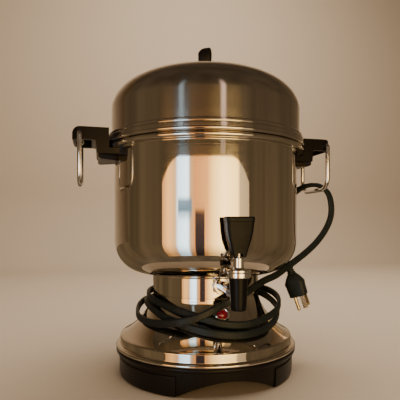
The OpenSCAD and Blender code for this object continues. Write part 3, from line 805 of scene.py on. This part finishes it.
class URN_OT_cord(UrnStep):
    """Wind the flat cord round the neck and over the right ring down to its plug"""
    bl_idname = "urn.cord"
    bl_label = "Cord and plug"

    def section(self, sizes):
        """Three cores side by side under one jacket, as an outline of 30 points."""
        points = []
        lobe = sizes.cord_thickness / 2
        pitch = (sizes.cord_width - sizes.cord_thickness) / 2
        for k in range(30):
            angle = tau * k / 30
            x = cos(angle) * sizes.cord_width / 2
            nearest = min((-pitch, 0, pitch), key=lambda c: abs(x - c))
            drop = min(abs(x - nearest), lobe * 0.96)
            out = (lobe ** 2 - drop ** 2) ** 0.5
            if abs(x) < pitch:
                out -= 0.6 * MM * (2 * drop / pitch) ** 4
            if abs(sin(angle)) < 0.01:
                out = 0
            points.append((x, out if sin(angle) >= 0 else -out))
        return points

    def make(self, sizes, colours, studio):
        wraps = [Vector((r * sin(radians(a)), -r * cos(radians(a)), z)) * MM for a, r, z in WRAPS]
        loop = [Vector(p) * MM for p in LOOP]
        join = len(wraps) - 1
        route = wraps[:-1] + loop
        steps = 8
        path = eased(route, steps)
        faces = []
        for i, point in enumerate(path):
            t = i / steps - join
            radial = Vector((point.x, point.y, 0)).normalized()
            front = Vector((0, -1, 0))
            blend = min(1.0, max(0.0, (t + 1) / 4))
            over = min(1.0, max(0.0, 1 - abs(t - 11.4) / 3.2))
            down = min(1.0, max(0.0, (t - 13) / 3))
            face = radial.lerp(front, blend)
            face = face.lerp(Vector((0, -0.35, 1)).normalized(), over * 0.9)
            face = face.lerp(Vector((0.8, -0.6, 0)), down)
            faces.append(face.normalized())
        cord = swept("cord", path, faces, self.section(sizes))
        finished(cord, "base", "cord_rubber", ["cord_wraps", "cord_loop"], angle=50)
        self.plug(sizes)
        self.relief()

    def plug(self, sizes):
        """The moulded plug: a ribbed neck and a flat-sided body with a finger grip."""
        ribs = [(0, 0.05), (4.0, 0.05)]
        for k in range(4):
            z = 1.2 + 3.1 * k
            r = 4.3 + 0.45 * k
            ribs += [(r, z), (r, z + 1.5), (r - 0.9, z + 1.9), (r - 0.9, z + 2.7)]
        ribs += [(5.6, 13.6), (0, 13.6)]
        neck = turned("plug_neck", ribs, 40, closed=False)
        body = lofted("plug_body_shell", square(0.28), [
            (12.2, 10.0, 9.4, 0, 0), (13.2, 11.4, 10.4, 0, 0), (18, 18.6, 13.6, 0, 0),
            (24, 25.6, 15.4, 0, 0), (25.6, 26.8, 15.6, 0, 0), (30, 25.4, 15.2, 0, 0),
            (36, 24.4, 16.4, 0, 0), (42, 23.8, 17.6, 0, 0), (43.6, 23.4, 17.4, 0, 0),
            (44, 22.6, 16.6, 0, 0)])
        soften(body, 0.5 * MM, 2, 50)
        plug = joined("plug", [body, neck])
        placed(plug, PLUG_PLACE)
        finished(plug, "base", "cord_rubber", ["plug_body"], angle=40)
        return plug

    def relief(self):
        """The tapered, ribbed strain relief in the skirt."""
        outline = [(0, -12), (5.2, -12), (5.5, -11.6), (5.5, -1.6), (7.6, -1.4), (7.8, -0.8),
                   (7.8, 1.0), (7.4, 1.5), (5.4, 1.7)]
        for k in range(6):
            z = 3.0 + 3.6 * k
            r = 5.5 - 0.18 * k
            outline += [(r - 0.9, z - 0.4), (r, z), (r, z + 1.6), (r - 0.9, z + 2.0)]
        outline += [(4.0, 25.4), (3.6, 26), (0, 26)]
        relief = turned("cord_relief", outline, 40, closed=False)
        placed(relief, RELIEF_PLACE)
        finished(relief, "base", "cord_rubber", ["strain_relief"])


class URN_OT_vessel(UrnStep):
    """Spin the bowl, its rolled rim and its neck from one sheet"""
    bl_idname = "urn.vessel"
    bl_label = "Bowl and neck"

    def make(self, sizes, colours, studio):
        outside = rounded([
            (HOLE_R, FLOOR_Z, 0), (NECK_R - 1.6, FLOOR_Z, 3), (NECK_R - 1.6, STEP_Z - 0.8, 0.5),
            (NECK_R, STEP_Z, 0.6), (NECK_R, BOWL_Z, 3.2), (BOWL_R, BOWL_Z, CORNER_R),
            (BOWL_R, RIM_Z - 2.9, 1.2), (RIM_R, RIM_Z - RIM_BEAD, 0)], steps=16)
        inside = shifted(outside, -SHEET)
        bead = arc((RIM_R, RIM_Z), RIM_BEAD, -90, 150, 18)
        shell = turned("vessel", outside + bead[1:] + [(BOWL_R - SHEET + 0.8, RIM_Z + 0.2)]
                       + inside[-9::-1], sizes.turning)
        finished(shell, "base", "polished_steel", ["urn_vessel"])


class URN_OT_lid(UrnStep):
    """Spin the brushed dome lid with its stepped skirt, rolled bead and inner band"""
    bl_idname = "urn.lid"
    bl_label = "Lid"

    def make(self, sizes, colours, studio):
        crown = []
        for i in range(61):
            r = LID_R * sin(radians(90 * i / 61))
            crown.append((max(r, 2.6) if i == 0 else r, dome(r)))
        outside = crown + rounded([
            (LID_R, DOME_Z, 0), (LID_R, 291.4, 0.5), (LID_R + 3.5, 291.4, 1.2),
            (LID_R + 3.5, 287.3, 1.1), (LID_R + 2.6, 287.1, 0.3), (LID_R + 5.2, 286.7, 1.0),
            (LID_R + 5.2, LID_BEAD_Z + 1.4, 0)])
        inside = shifted(crown, SHEET) + rounded([
            (LID_R - SHEET, DOME_Z, 0), (LID_R - SHEET, 290.5, 0.4), (LID_R + 1.7, 290.5, 0.4),
            (LID_R + 1.7, 285.8, 0.4), (LID_R + 4.3, 285.4, 0.4),
            (LID_R + 4.3, LID_BEAD_Z + 1.4, 0)])
        bead = arc((LID_R + 3.4, LID_BEAD_Z), LID_BEAD, 30, -250, 20)
        shell = turned("lid_dome", outside + bead + inside[::-1][3:], sizes.turning)
        band = turned("lid_band", walled(rounded([
            (LID_R + 2, LID_BEAD_Z - 0.1, 0), (BOWL_R - 1.8, LID_BEAD_Z - 0.1, 0.8),
            (BOWL_R - 1.8, 270.2, 0)]), -SHEET), sizes.turning)
        finished(joined("lid", [shell, band]), "lid", "brushed_steel", ["lid_shell"])


def dome(r):
    """Height of the lid's dome at a distance from the axis, in millimetres."""
    share = r / LID_R
    return DOME_Z + DOME_RISE * (1 - share ** 4.5) ** 0.556 + CROWN * (1 - share ** 2)


class URN_OT_knob(UrnStep):
    """Mould the lid's finger knob"""
    bl_idname = "urn.knob"
    bl_label = "Knob"

    def make(self, sizes, colours, studio):
        top_z = high("lid_knob")
        foot_z = dome(0) + 0.1
        foot = turned("knob_foot", [(0, foot_z), (12.3, dome(12.3) + 0.1), (12.7, foot_z + 1.0),
                                    (12.1, foot_z + 2.0), (9.0, foot_z + 3.2), (7.4, foot_z + 5.5),
                                    (6.9, foot_z + 9), (0, foot_z + 9)], 48, closed=False)
        grip = lofted("knob_grip", square(0.22), [
            (foot_z + 4, 11, 13, 0, 0), (foot_z + 9, 12.4, 15, -0.4, 0),
            (foot_z + 15, 15.0, 19, -0.8, 0), (foot_z + 21, 17.0, 22.8, -0.9, 0),
            (top_z - 7.0, 17.6, 24.8, -0.9, 0), (top_z - 4.0, 17.4, 24.8, -0.8, 0),
            (top_z - 1.0, 14.2, 23.0, 0.6, 0), (top_z + 0.6, 9.0, 19, 2.4, 0)])
        knob = joined("knob", [grip, foot])
        soften(knob, 1.1 * MM, 3, 25)
        opened(knob)
        bpy.ops.mesh.select_all(action="DESELECT")
        bpy.ops.object.mode_set(mode="OBJECT")
        bend_z = (top_z - 6) * MM
        for vertex in knob.data.vertices:
            vertex.select = vertex.co.z > bend_z
        bpy.ops.object.mode_set(mode="EDIT")
        bpy.ops.transform.rotate(value=radians(8), orient_axis="Y", center_override=(0, 0, bend_z))
        bpy.ops.object.mode_set(mode="OBJECT")
        placed(knob, spun(-14, "Z"))
        finished(knob, "lid", "black_phenolic", ["lid_knob"], angle=40)


class URN_OT_skirt(UrnStep):
    """Spin the flared skirt under the neck with its band and rolled bead"""
    bl_idname = "urn.skirt"
    bl_label = "Skirt"

    def make(self, sizes, colours, studio):
        flare = bezier((NECK_R, STEP_Z), (NECK_R, 84), (84, 58), (BAND_R - 1.1, 47.2), 40)
        outside = (flare + arc((BAND_R - 1.3, 45.7), 1.3, 60, 0, 5)
                   + arc((BAND_R + 1.2, 37.8), 1.2, 180, 250, 5) + [(BEAD_R - 3.0, 36.6)])
        inside = shifted(outside, SHEET)
        bead = arc((BEAD_R - BASE_BEAD, RING_Z + BASE_BEAD), BASE_BEAD, 118, -200, 22)
        shell = turned("skirt", outside + bead + inside[::-1][2:], sizes.turning)
        finished(shell, "base", "polished_steel", ["base_skirt"])


class URN_OT_base(UrnStep):
    """Mould the black base ring with its three arches and foot pads"""
    bl_idname = "urn.base"
    bl_label = "Base ring"

    def make(self, sizes, colours, studio):
        ring = turned("base", rounded([
            (96, RING_Z - 3.3, 0), (103.5, RING_Z - 3.3, 0.6), (103.5, 8, 1), (100.5, 6, 0.8),
            (100.5, 0, 0.5), (104, 0, 1.2), (106.3, 1.6, 1.5), (107.2, 6, 3),
            (108.4, RING_Z - 5.3, 0.8), (BEAD_R - 0.6, RING_Z - 5.0, 0.9),
            (BEAD_R - 0.1, RING_Z - 2, 1.5), (BEAD_R - 0.8, RING_Z - 0.1, 0.6),
            (BAND_R - 1.2, RING_Z - 0.1, 0.5), (BAND_R - 1.2, 44, 0.4), (BAND_R - 4, 44, 0.4),
            (BAND_R - 4, RING_Z, 0.5), (96, RING_Z, 0)], 4, loop=True), 180)
        pads, sweep = [], 57
        for angle in (60, 180, 300):
            pad = turned("pad", rounded([
                (104, 0, 0), (106.3, 0, 1.2), (108.2, 1.6, 1.8), (108.9, 6, 4), (109.4, 21.6, 1.2),
                (108.4, 23, 0), (105, 23, 0)], 4, loop=True), 60, angle=radians(sweep))
            opened(pad)
            bpy.ops.mesh.region_to_loop()
            bpy.ops.mesh.edge_face_add()
            face_outwards()
            pads.append(placed(pad, spun(angle - 90 - sweep / 2, "Z")))
        combine(ring, pads, "UNION")
        rise, half = 17.3, 56.0
        radius = (half * half + rise * rise) / (2 * rise)
        cuts = []
        for angle in (0, 120, 240):
            drum = turned("arch", [(0, 80), (radius, 80), (radius, 125), (0, 125)], 256,
                          closed=False)
            cuts.append(placed(drum, spun(angle, "Z") @ at(0, 0, rise - radius) @ spun(90, "X")))
        combine(ring, cuts, "DIFFERENCE")
        finished(ring, "base", "black_phenolic", ["base_ring"], angle=30)


class URN_OT_lamp(UrnStep):
    """Turn the signal lamp's bezel and its domed red lens"""
    bl_idname = "urn.lamp"
    bl_label = "Signal lamp"

    def make(self, sizes, colours, studio):
        bezel = turned("lamp_ring", rounded([
            (5.3, -2, 0), (5.9, -2, 0), (5.9, 1.0, 0.2), (9.2, 1.0, 0.25), (9.5, 1.8, 0.5),
            (7.6, 3.0, 0.7), (6.6, 3.1, 0.5), (5.3, 1.9, 0.3)], 5, loop=True), 72)
        placed(bezel, LAMP_PLACE)
        finished(bezel, "base", "chrome_plate", ["lamp_bezel"])
        profile = [(0, -1.9), (5.2, -1.9)] + [
            (5.2 * cos(radians(a)), 1.9 + 3.1 * sin(radians(a))) for a in range(0, 91, 9)]
        lens = turned("lamp_dome", profile[:-1] + [(0, 5.0)], 48, closed=False)
        placed(lens, LAMP_PLACE)
        finished(lens, "base", "red_lens", ["lamp_lens"])


class URN_OT_tap(UrnStep):
    """Make the tap's barrel, bonnet, spring, shank and nut"""
    bl_idname = "urn.tap"
    bl_label = "Tap"

    def make(self, sizes, colours, studio):
        tap = at(0, TAP_Y, 0)
        outwards = at(0, 0, SHANK_Z) @ spun(90, "X")
        barrel = turned("tap_barrel", rounded([
            (4, 96.7, 0.3), (7.4, 96.7, 0.9), (8.0, 101, 4), (9.7, 129.4, 0.4), (8.4, 129.5, 0.1),
            (8.4, 136, 0.4), (6.2, 136, 0.3), (6.2, 109, 0.2), (4, 106.5, 0.2)], 5, loop=True), 72)
        placed(barrel, tap)
        boss = turned("tap_boss", rounded([
            (6.2, -TAP_Y - 17, 0.3), (8.3, -TAP_Y - 17, 0.9), (8.3, -TAP_Y - 3, 0),
            (6.2, -TAP_Y - 3, 0)], 4, loop=True), 64)
        placed(boss, outwards)
        combine(barrel, [boss], "UNION")
        finished(barrel, "base", "black_nylon", ["tap_body"], angle=40)

        bonnet = turned("tap_bonnet_trim", rounded([
            (2.7, 136.1, 0), (8.4, 136.1, 0), (8.4, 129.7, 0.2), (11.9, 129.7, 0.5),
            (12.3, 130.4, 0.4), (12.3, 134.3, 0.4), (11.7, 135.0, 0.3), (12.3, 135.7, 0.4),
            (12.2, 137.4, 0.5), (11.0, 138.1, 0.8), (6.4, 138.3, 0.9), (5.3, 139.6, 0.6),
            (5.3, 148.8, 0.5), (4.9, 149.5, 0.2), (2.7, 149.5, 0.2)], 5, loop=True), 96)
        placed(bonnet, tap)
        finished(bonnet, "base", "chrome_plate", ["tap_bonnet"])

        sleeve = turned("tap_sleeve", rounded([
            (4.2, 56, 0.2), (6.3, 56, 0.3), (6.3, NECK_R + 1.5, 0), (8.4, NECK_R + 1.5, 0.3),
            (8.4, NECK_R + 2.5, 0.3), (6.5, NECK_R + 2.6, 0), (6.3, -TAP_Y - 6.4, 0.3),
            (4.2, -TAP_Y - 6.4, 0.2)], 4, loop=True), 64)
        turns = [tau * k / 24 for k in range(24 * 5 + 1)]
        foot_z, head_z = 120.8, 135.4
        coil = [Vector((4.3 * cos(a), TAP_Y + 4.3 * sin(a),
                        foot_z + (head_z - foot_z) * a / turns[-1])) * MM for a in turns]
        spring = swept("tap_coil", coil, [Vector((cos(a), sin(a), 0)) for a in turns],
                       circle(0.45 * MM, 10))
        finished(spring, "base", "satin_steel", ["tap_spring"], angle=60)
        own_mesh(spring)

        hexagon = [(10.1 * cos(tau * k / 6), 10.1 * sin(tau * k / 6)) for k in range(6)]
        nut = extruded("tap_hexagon", hexagon, 4.4, at(0, 0, NECK_R + 2.5))
        soften(nut, 0.6 * MM)
        shank = joined("tap_shank_sleeve", [sleeve, nut])
        placed(shank, outwards)
        finished(shank, "base", "chrome_plate", ["tap_shank"])


class URN_OT_lever(UrnStep):
    """Mould the tap's flared lever"""
    bl_idname = "urn.lever"
    bl_label = "Lever"

    def make(self, sizes, colours, studio):
        top, width = LEVER_TOP, LEVER_W + 1.8
        lever = lofted("lever", square(0.12), [
            (149.9, 12.2, 11.2, 0, 0), (150.4, 12.8, 11.8, 0, 0), (154, 14.8, 12.2, 0, 0),
            (158, 17.2, 12.8, 0, -0.2), (163.5, 20.6, 13.6, 0, -0.4), (169, 23.6, 14.4, 0, -0.7),
            (175, 26.0, 15.2, 0, -1.0), (top - 5.4, width - 0.8, 16.2, 0, -1.4),
            (top - 4.9, width, 16.8, 0, -1.4), (top - 1.4, width, 16.8, 0, -1.4),
            (top - 0.4, width - 1.0, 15.8, 0, -1.4)])
        soften(lever, 0.5 * MM, 3, 24)
        side, foot = 2.9, at(0, 0, 148)
        slot, notch = (
            extruded(name, [(-side, front), (side, front), (side, back), (-side, back)], rise, foot)
            for name, front, back, rise in (("slot", -4.3, 5.2, 12.5), ("notch", -9, 0, 5.6)))
        combine(slot, [notch], "UNION")
        combine(lever, [slot], "DIFFERENCE")
        placed(lever, at(0, TAP_Y, 0))
        finished(lever, "lever", "black_nylon", ["tap_lever"], angle=40)


class URN_OT_brackets(UrnStep):
    """Mould the two handle brackets on the bowl"""
    bl_idname = "urn.brackets"
    bl_label = "Handle brackets"

    def make(self, sizes, colours, studio):
        foot = rounded([(110, 258.6, 0), (132, 258.6, 1.6), (134.6, 260.4, 1.2),
                        (134.6, 266.4, 0.3), (110, 266.4, 0)], 5, loop=True)
        profile = rounded([
            (105, 264.6, 0), (136, 264.6, 0.8), (137.2, 279.5, 2.5), (ARM_OUT, 279.5, 2.8),
            (ARM_OUT, 294.2, 8.0), (105, 294.2, 0)], 6, loop=True)
        upright = at(0, ARM_HALF, 0) @ spun(90, "X")
        bracket = extruded("right_arm", profile, 2 * ARM_HALF, upright)
        foot = extruded("foot", foot, 2 * ARM_HALF, upright)
        plan = extruded("plan", even([(100, ARM_HALF, 0), (ARM_OUT, ARM_HALF, 12)]), 50,
                        at(0, 0, 250))
        combine(bracket, [plan], "INTERSECT")
        taper = extruded("taper", even([
            (100, 14, 0), (112, 15, 2), (134, ARM_HALF - 1, 2), (150, ARM_HALF - 1, 0)]), 50,
            at(0, 0, 250))
        combine(foot, [taper], "INTERSECT")
        rim = turned("rim_room", rounded([
            (0, 271.2, 0), (RIM_R + RIM_BEAD + 2.2, 271.2, 0), (RIM_R + RIM_BEAD + 2.2, 300, 0),
            (0, 300, 0)]), 180, closed=False)
        combine(bracket, [foot], "UNION")
        combine(bracket, [rim], "DIFFERENCE")
        channel = extruded("channel", even([
            (142, ARM_HALF - 4, 2), (ARM_OUT - 3.5, ARM_HALF - 4, 8)], 5), 20, at(0, 0, 270))
        bowl = turned("bowl_side", [(0, 240), (BOWL_R + 0.05, 240), (BOWL_R + 0.05, 300), (0, 300)],
                      180, closed=False)
        pivot = turned("pivot_hole", [(0, -40), (WIRE_R + 0.05, -40), (WIRE_R + 0.05, 40), (0, 40)],
                       40, closed=False)
        placed(pivot, at(PIVOT_X, 0, PIVOT_Z) @ spun(90, "X"))
        combine(bracket, [channel, bowl, pivot], "DIFFERENCE")
        left = mirrored(bracket, "left_arm")
        finished(bracket, "base", "black_phenolic", ["right_bracket"], angle=30)
        finished(left, "base", "black_phenolic", ["left_bracket"], angle=30)


class URN_OT_rings(UrnStep):
    """Bend the two swinging wire rings"""
    bl_idname = "urn.rings"
    bl_label = "Handle rings"

    def make(self, sizes, colours, studio):
        bend, corner = 4.0, 16.0
        half = [(22.4, PIVOT_Z)] + arc((LEG_Y - bend, PIVOT_Z - bend), bend, 90, 0, 10)
        half += arc((LEG_Y - corner, BAR_Z + corner), corner, 0, -90, 20)
        route = half + [(-y, z) for y, z in half[::-1]]
        path = []
        for (y0, z0), (y1, z1) in zip(route, route[1:]):
            pieces = max(1, round(hypot(y1 - y0, z1 - z0) / 5))
            for k in range(pieces):
                share = k / pieces
                path.append(Vector((PIVOT_X, y0 + (y1 - y0) * share, z0 + (z1 - z0) * share)) * MM)
        path.append(Vector((PIVOT_X, route[-1][0], route[-1][1])) * MM)
        faces = [Vector((1, 0, 0))] * len(path)
        right = swept("right_wire", path, faces, circle(WIRE_R * MM, 24))
        soften(right, 0.6 * MM, 3, 60)
        left = mirrored(right, "left_wire")
        finished(right, "right_handle", "chrome_plate", ["right_ring"], angle=50)
        finished(left, "left_handle", "chrome_plate", ["left_ring"], angle=50)


class URN_OT_stage(UrnStep):
    """Lay the floor and backdrop and hang the soft lights"""
    bl_idname = "urn.stage"
    bl_label = "Studio"

    def make(self, sizes, colours, studio):
        near, far = self.floor()
        backdrop = self.backdrop()
        for piece in (near, far, backdrop):
            piece.data.materials.append(bpy.data.materials["studio_floor"])
        cards = [self.card(studio), self.strip(studio, -26, (0.15, 0.18, 0.19)),
                 self.strip(studio, 19, (0.52, 0.36, 0.29))]
        self.soft_light("Overhead", (0.1, -0.2, 1.5), (0, 0, 0.1), 1.4, studio.fill,
                        (1, 0.93, 0.85))
        self.soft_light("Backdrop wash", (0.35, 0.45, 1.4), (0.5, 1.5, 0.35), 1.2,
                        studio.fill * 1.5, (1, 0.90, 0.78))
        self.world(studio)

    def floor(self):
        """The floor in two sheets. Polished metal mirrors only the round one under the urn."""
        near = turned("floor_near", [(0, -0.06), (FLOOR_NEAR, -0.06)], 96, closed=False)
        far = drawn("floor_far", [Vector((r, 0, -0.06)) * MM for r in (FLOOR_NEAR, 2600)],
                    closed=False)
        bpy.ops.mesh.select_all(action="SELECT")
        bpy.ops.mesh.spin(steps=96, angle=tau, center=(0, 0, 0), axis=(0, 0, 1))
        face_outwards()
        far.visible_glossy = False
        return near, far

    def backdrop(self):
        """A sheet that curves up from the floor well behind the urn."""
        width, radius, top = 5.2, 0.35, 2.4
        outline = arc((1.25, radius), radius, -90, 0, 15) + [(1.25 + radius, top)]
        piece = drawn("studio_backdrop", [Vector((-width / 2, y, z)) for y, z in outline],
                      closed=False)
        bpy.ops.mesh.extrude_region_move(TRANSFORM_OT_translate={"value": (width, 0, 0)})
        face_outwards()
        take(piece)
        bpy.ops.object.shade_smooth()
        return piece

    def emitter(self, name, foot, top, half, centre, maker, steps):
        """An upright curved sheet of light round the urn that only its reflections show."""
        piece = drawn(name, [Vector((CARD_R, 0, foot)), Vector((CARD_R, 0, top))], closed=False)
        bpy.ops.mesh.select_all(action="SELECT")
        bpy.ops.mesh.spin(steps=steps, angle=-2 * half, center=(0, 0, 0), axis=(0, 0, 1))
        bpy.ops.object.mode_set(mode="OBJECT")
        placed(piece, Matrix.Rotation(atan2(FACING.y, FACING.x) + centre - half, 4, "Z"))
        piece.data.materials.append(emission(name + "_light", maker))
        piece.visible_camera = False
        piece.visible_shadow = False
        return piece

    def card(self, studio):
        """The wide card behind the camera, with rounded upper corners."""
        piece = self.emitter("light_card", -0.75, 0.42, CARD_HALF, 0,
                             lambda tree: self.card_light(tree, studio.card), 60)
        for vertex in piece.data.vertices:
            if vertex.co.z > 0:
                away = Vector((vertex.co.x, vertex.co.y, 0)).angle(FACING) / CARD_HALF
                vertex.co.z -= 0.09 * max(0.0, (away - 0.55) / 0.45) ** 2.2
        return piece

    def card_light(self, tree, strength):
        """Warm light across the card, with a cool band, a blue-grey patch and a dark post."""
        apart = add(tree, "SeparateXYZ", [(0, place(tree))])
        height = apart.outputs[2]
        turn = maths(tree, "ARCTAN2", apart.outputs[0], times(tree, apart.outputs[1], -1.0))
        ahead = atan2(FACING.x, -FACING.y)
        ramp = add(tree, "ValToRGB", [
            (0, spread(tree, turn, ahead - CARD_HALF, ahead + CARD_HALF, 0, 1))])
        elements = ramp.color_ramp.elements
        elements[0].color = (*CARD_COLOURS[0][1], 1)
        elements[1].color = (*CARD_COLOURS[-1][1], 1)
        for position, colour in CARD_COLOURS[1:-1]:
            elements.new(position).color = (*colour, 1)

        def patch(below, middle, half, low_end, high_end, colour):
            """Colour on a patch of the card, with middle and half in degrees from its centre."""
            beside = maths(tree, "ABSOLUTE", maths(tree, "SUBTRACT", turn, ahead + radians(middle)))
            across = spread(tree, beside, radians(half - 0.5), radians(half + 0.5), 1, 0)
            under = spread(tree, height, high_end - 0.01, high_end + 0.01, 1, 0)
            over = spread(tree, height, low_end - 0.02, low_end + 0.02, 0, 1)
            return tinted(tree, times(tree, times(tree, across, under), over), below, colour)

        tone = patch(ramp.outputs[0], -22.8, 7.8, 0.215, 0.275, (0.13, 0.21, 0.28))
        tone = patch(tone, -6.2, 5.2, -1, 0.235, (0.035, 0.024, 0.023))
        return tone, times(tree, spread(tree, height, -0.55, 0.05, 0.35, 1), strength)

    def strip(self, studio, centre, colour):
        """A narrow dim strip above the card, which draws a fading streak down brushed metal."""
        def fading(tree):
            height = add(tree, "SeparateXYZ", [(0, place(tree))]).outputs[2]
            rise = spread(tree, height, 0.46, 0.62, 0.3, 1)
            fall = spread(tree, height, 0.75, 1.6, 1, 0)
            return (*colour, 1), times(tree, times(tree, rise, fall), studio.strip)
        return self.emitter("light_strip", 0.43, 1.6, radians(2.6), radians(centre), fading, 4)

    def soft_light(self, name, location, target, size, power, colour):
        clear()
        bpy.ops.object.light_add(type="AREA", location=location)
        light = bpy.context.object
        light.name = name
        aim = Vector(target) - Vector(location)
        light.rotation_euler = aim.to_track_quat("-Z", "Y").to_euler()
        light.data.shape = "DISK"
        light.data.size = size
        light.data.energy = power
        light.data.color = colour
        light.visible_camera = False
        light.visible_glossy = False

    def world(self, studio):
        """A dim warm room, lighter below the horizon and a little uneven from side to side."""
        world = bpy.data.worlds.new("dim_room")
        world.use_nodes = True
        bpy.context.scene.world = world
        tree = world.node_tree
        where = add(tree, "TexCoord").outputs["Generated"]
        apart = add(tree, "SeparateXYZ", [(0, where)])
        level = add(tree, "CombineXYZ", [(0, apart.outputs[0]), (1, apart.outputs[1])]).outputs[0]
        patches = spread(tree, noise(tree, level, 2.6, 2.0), 0.35, 0.65, 0.72, 1.25)
        above = tinted(tree, spread(tree, apart.outputs[2], 0.0, 0.9, 0, 1), (0.180, 0.124, 0.066),
                       (0.085, 0.060, 0.036))
        room = tinted(tree, spread(tree, apart.outputs[2], -0.5, -0.75, 0, 1), above,
                      (0.20, 0.145, 0.090))
        fill(tree, tree.nodes["Background"], [
            ("Color", room), ("Strength", times(tree, patches, studio.room))])


STEPS = (URN_OT_camera, URN_OT_finishes, URN_OT_cord, URN_OT_vessel, URN_OT_lid, URN_OT_knob,
         URN_OT_skirt, URN_OT_base, URN_OT_lamp, URN_OT_tap, URN_OT_lever, URN_OT_brackets,
         URN_OT_rings, URN_OT_stage)


class URN_PT_steps(bpy.types.Panel):
    """Lists the steps that make the urn"""
    bl_idname = "URN_PT_steps"
    bl_label = "Coffee urn"
    bl_space_type = "VIEW_3D"
    bl_region_type = "UI"
    bl_category = "Coffee urn"

    def draw(self, context):
        for group in (context.scene.urn_sizes, context.scene.urn_colours, context.scene.urn_studio):
            box = self.layout.box()
            for key in group.__annotations__:
                box.prop(group, key)
        for step in STEPS:
            self.layout.operator(step.bl_idname)


CLASSES = (UrnSizes, UrnColours, UrnStudio, *STEPS, URN_PT_steps)


def register():
    for item in CLASSES:
        bpy.utils.register_class(item)
    bpy.types.Scene.urn_sizes = PointerProperty(type=UrnSizes)
    bpy.types.Scene.urn_colours = PointerProperty(type=UrnColours)
    bpy.types.Scene.urn_studio = PointerProperty(type=UrnStudio)


def unregister():
    del bpy.types.Scene.urn_studio
    del bpy.types.Scene.urn_colours
    del bpy.types.Scene.urn_sizes
    for item in reversed(CLASSES):
        bpy.utils.unregister_class(item)


def main():
    register()
    for step in STEPS:
        getattr(bpy.ops.urn, step.bl_idname.split(".")[1])()


if __name__ == "__main__":
    main()
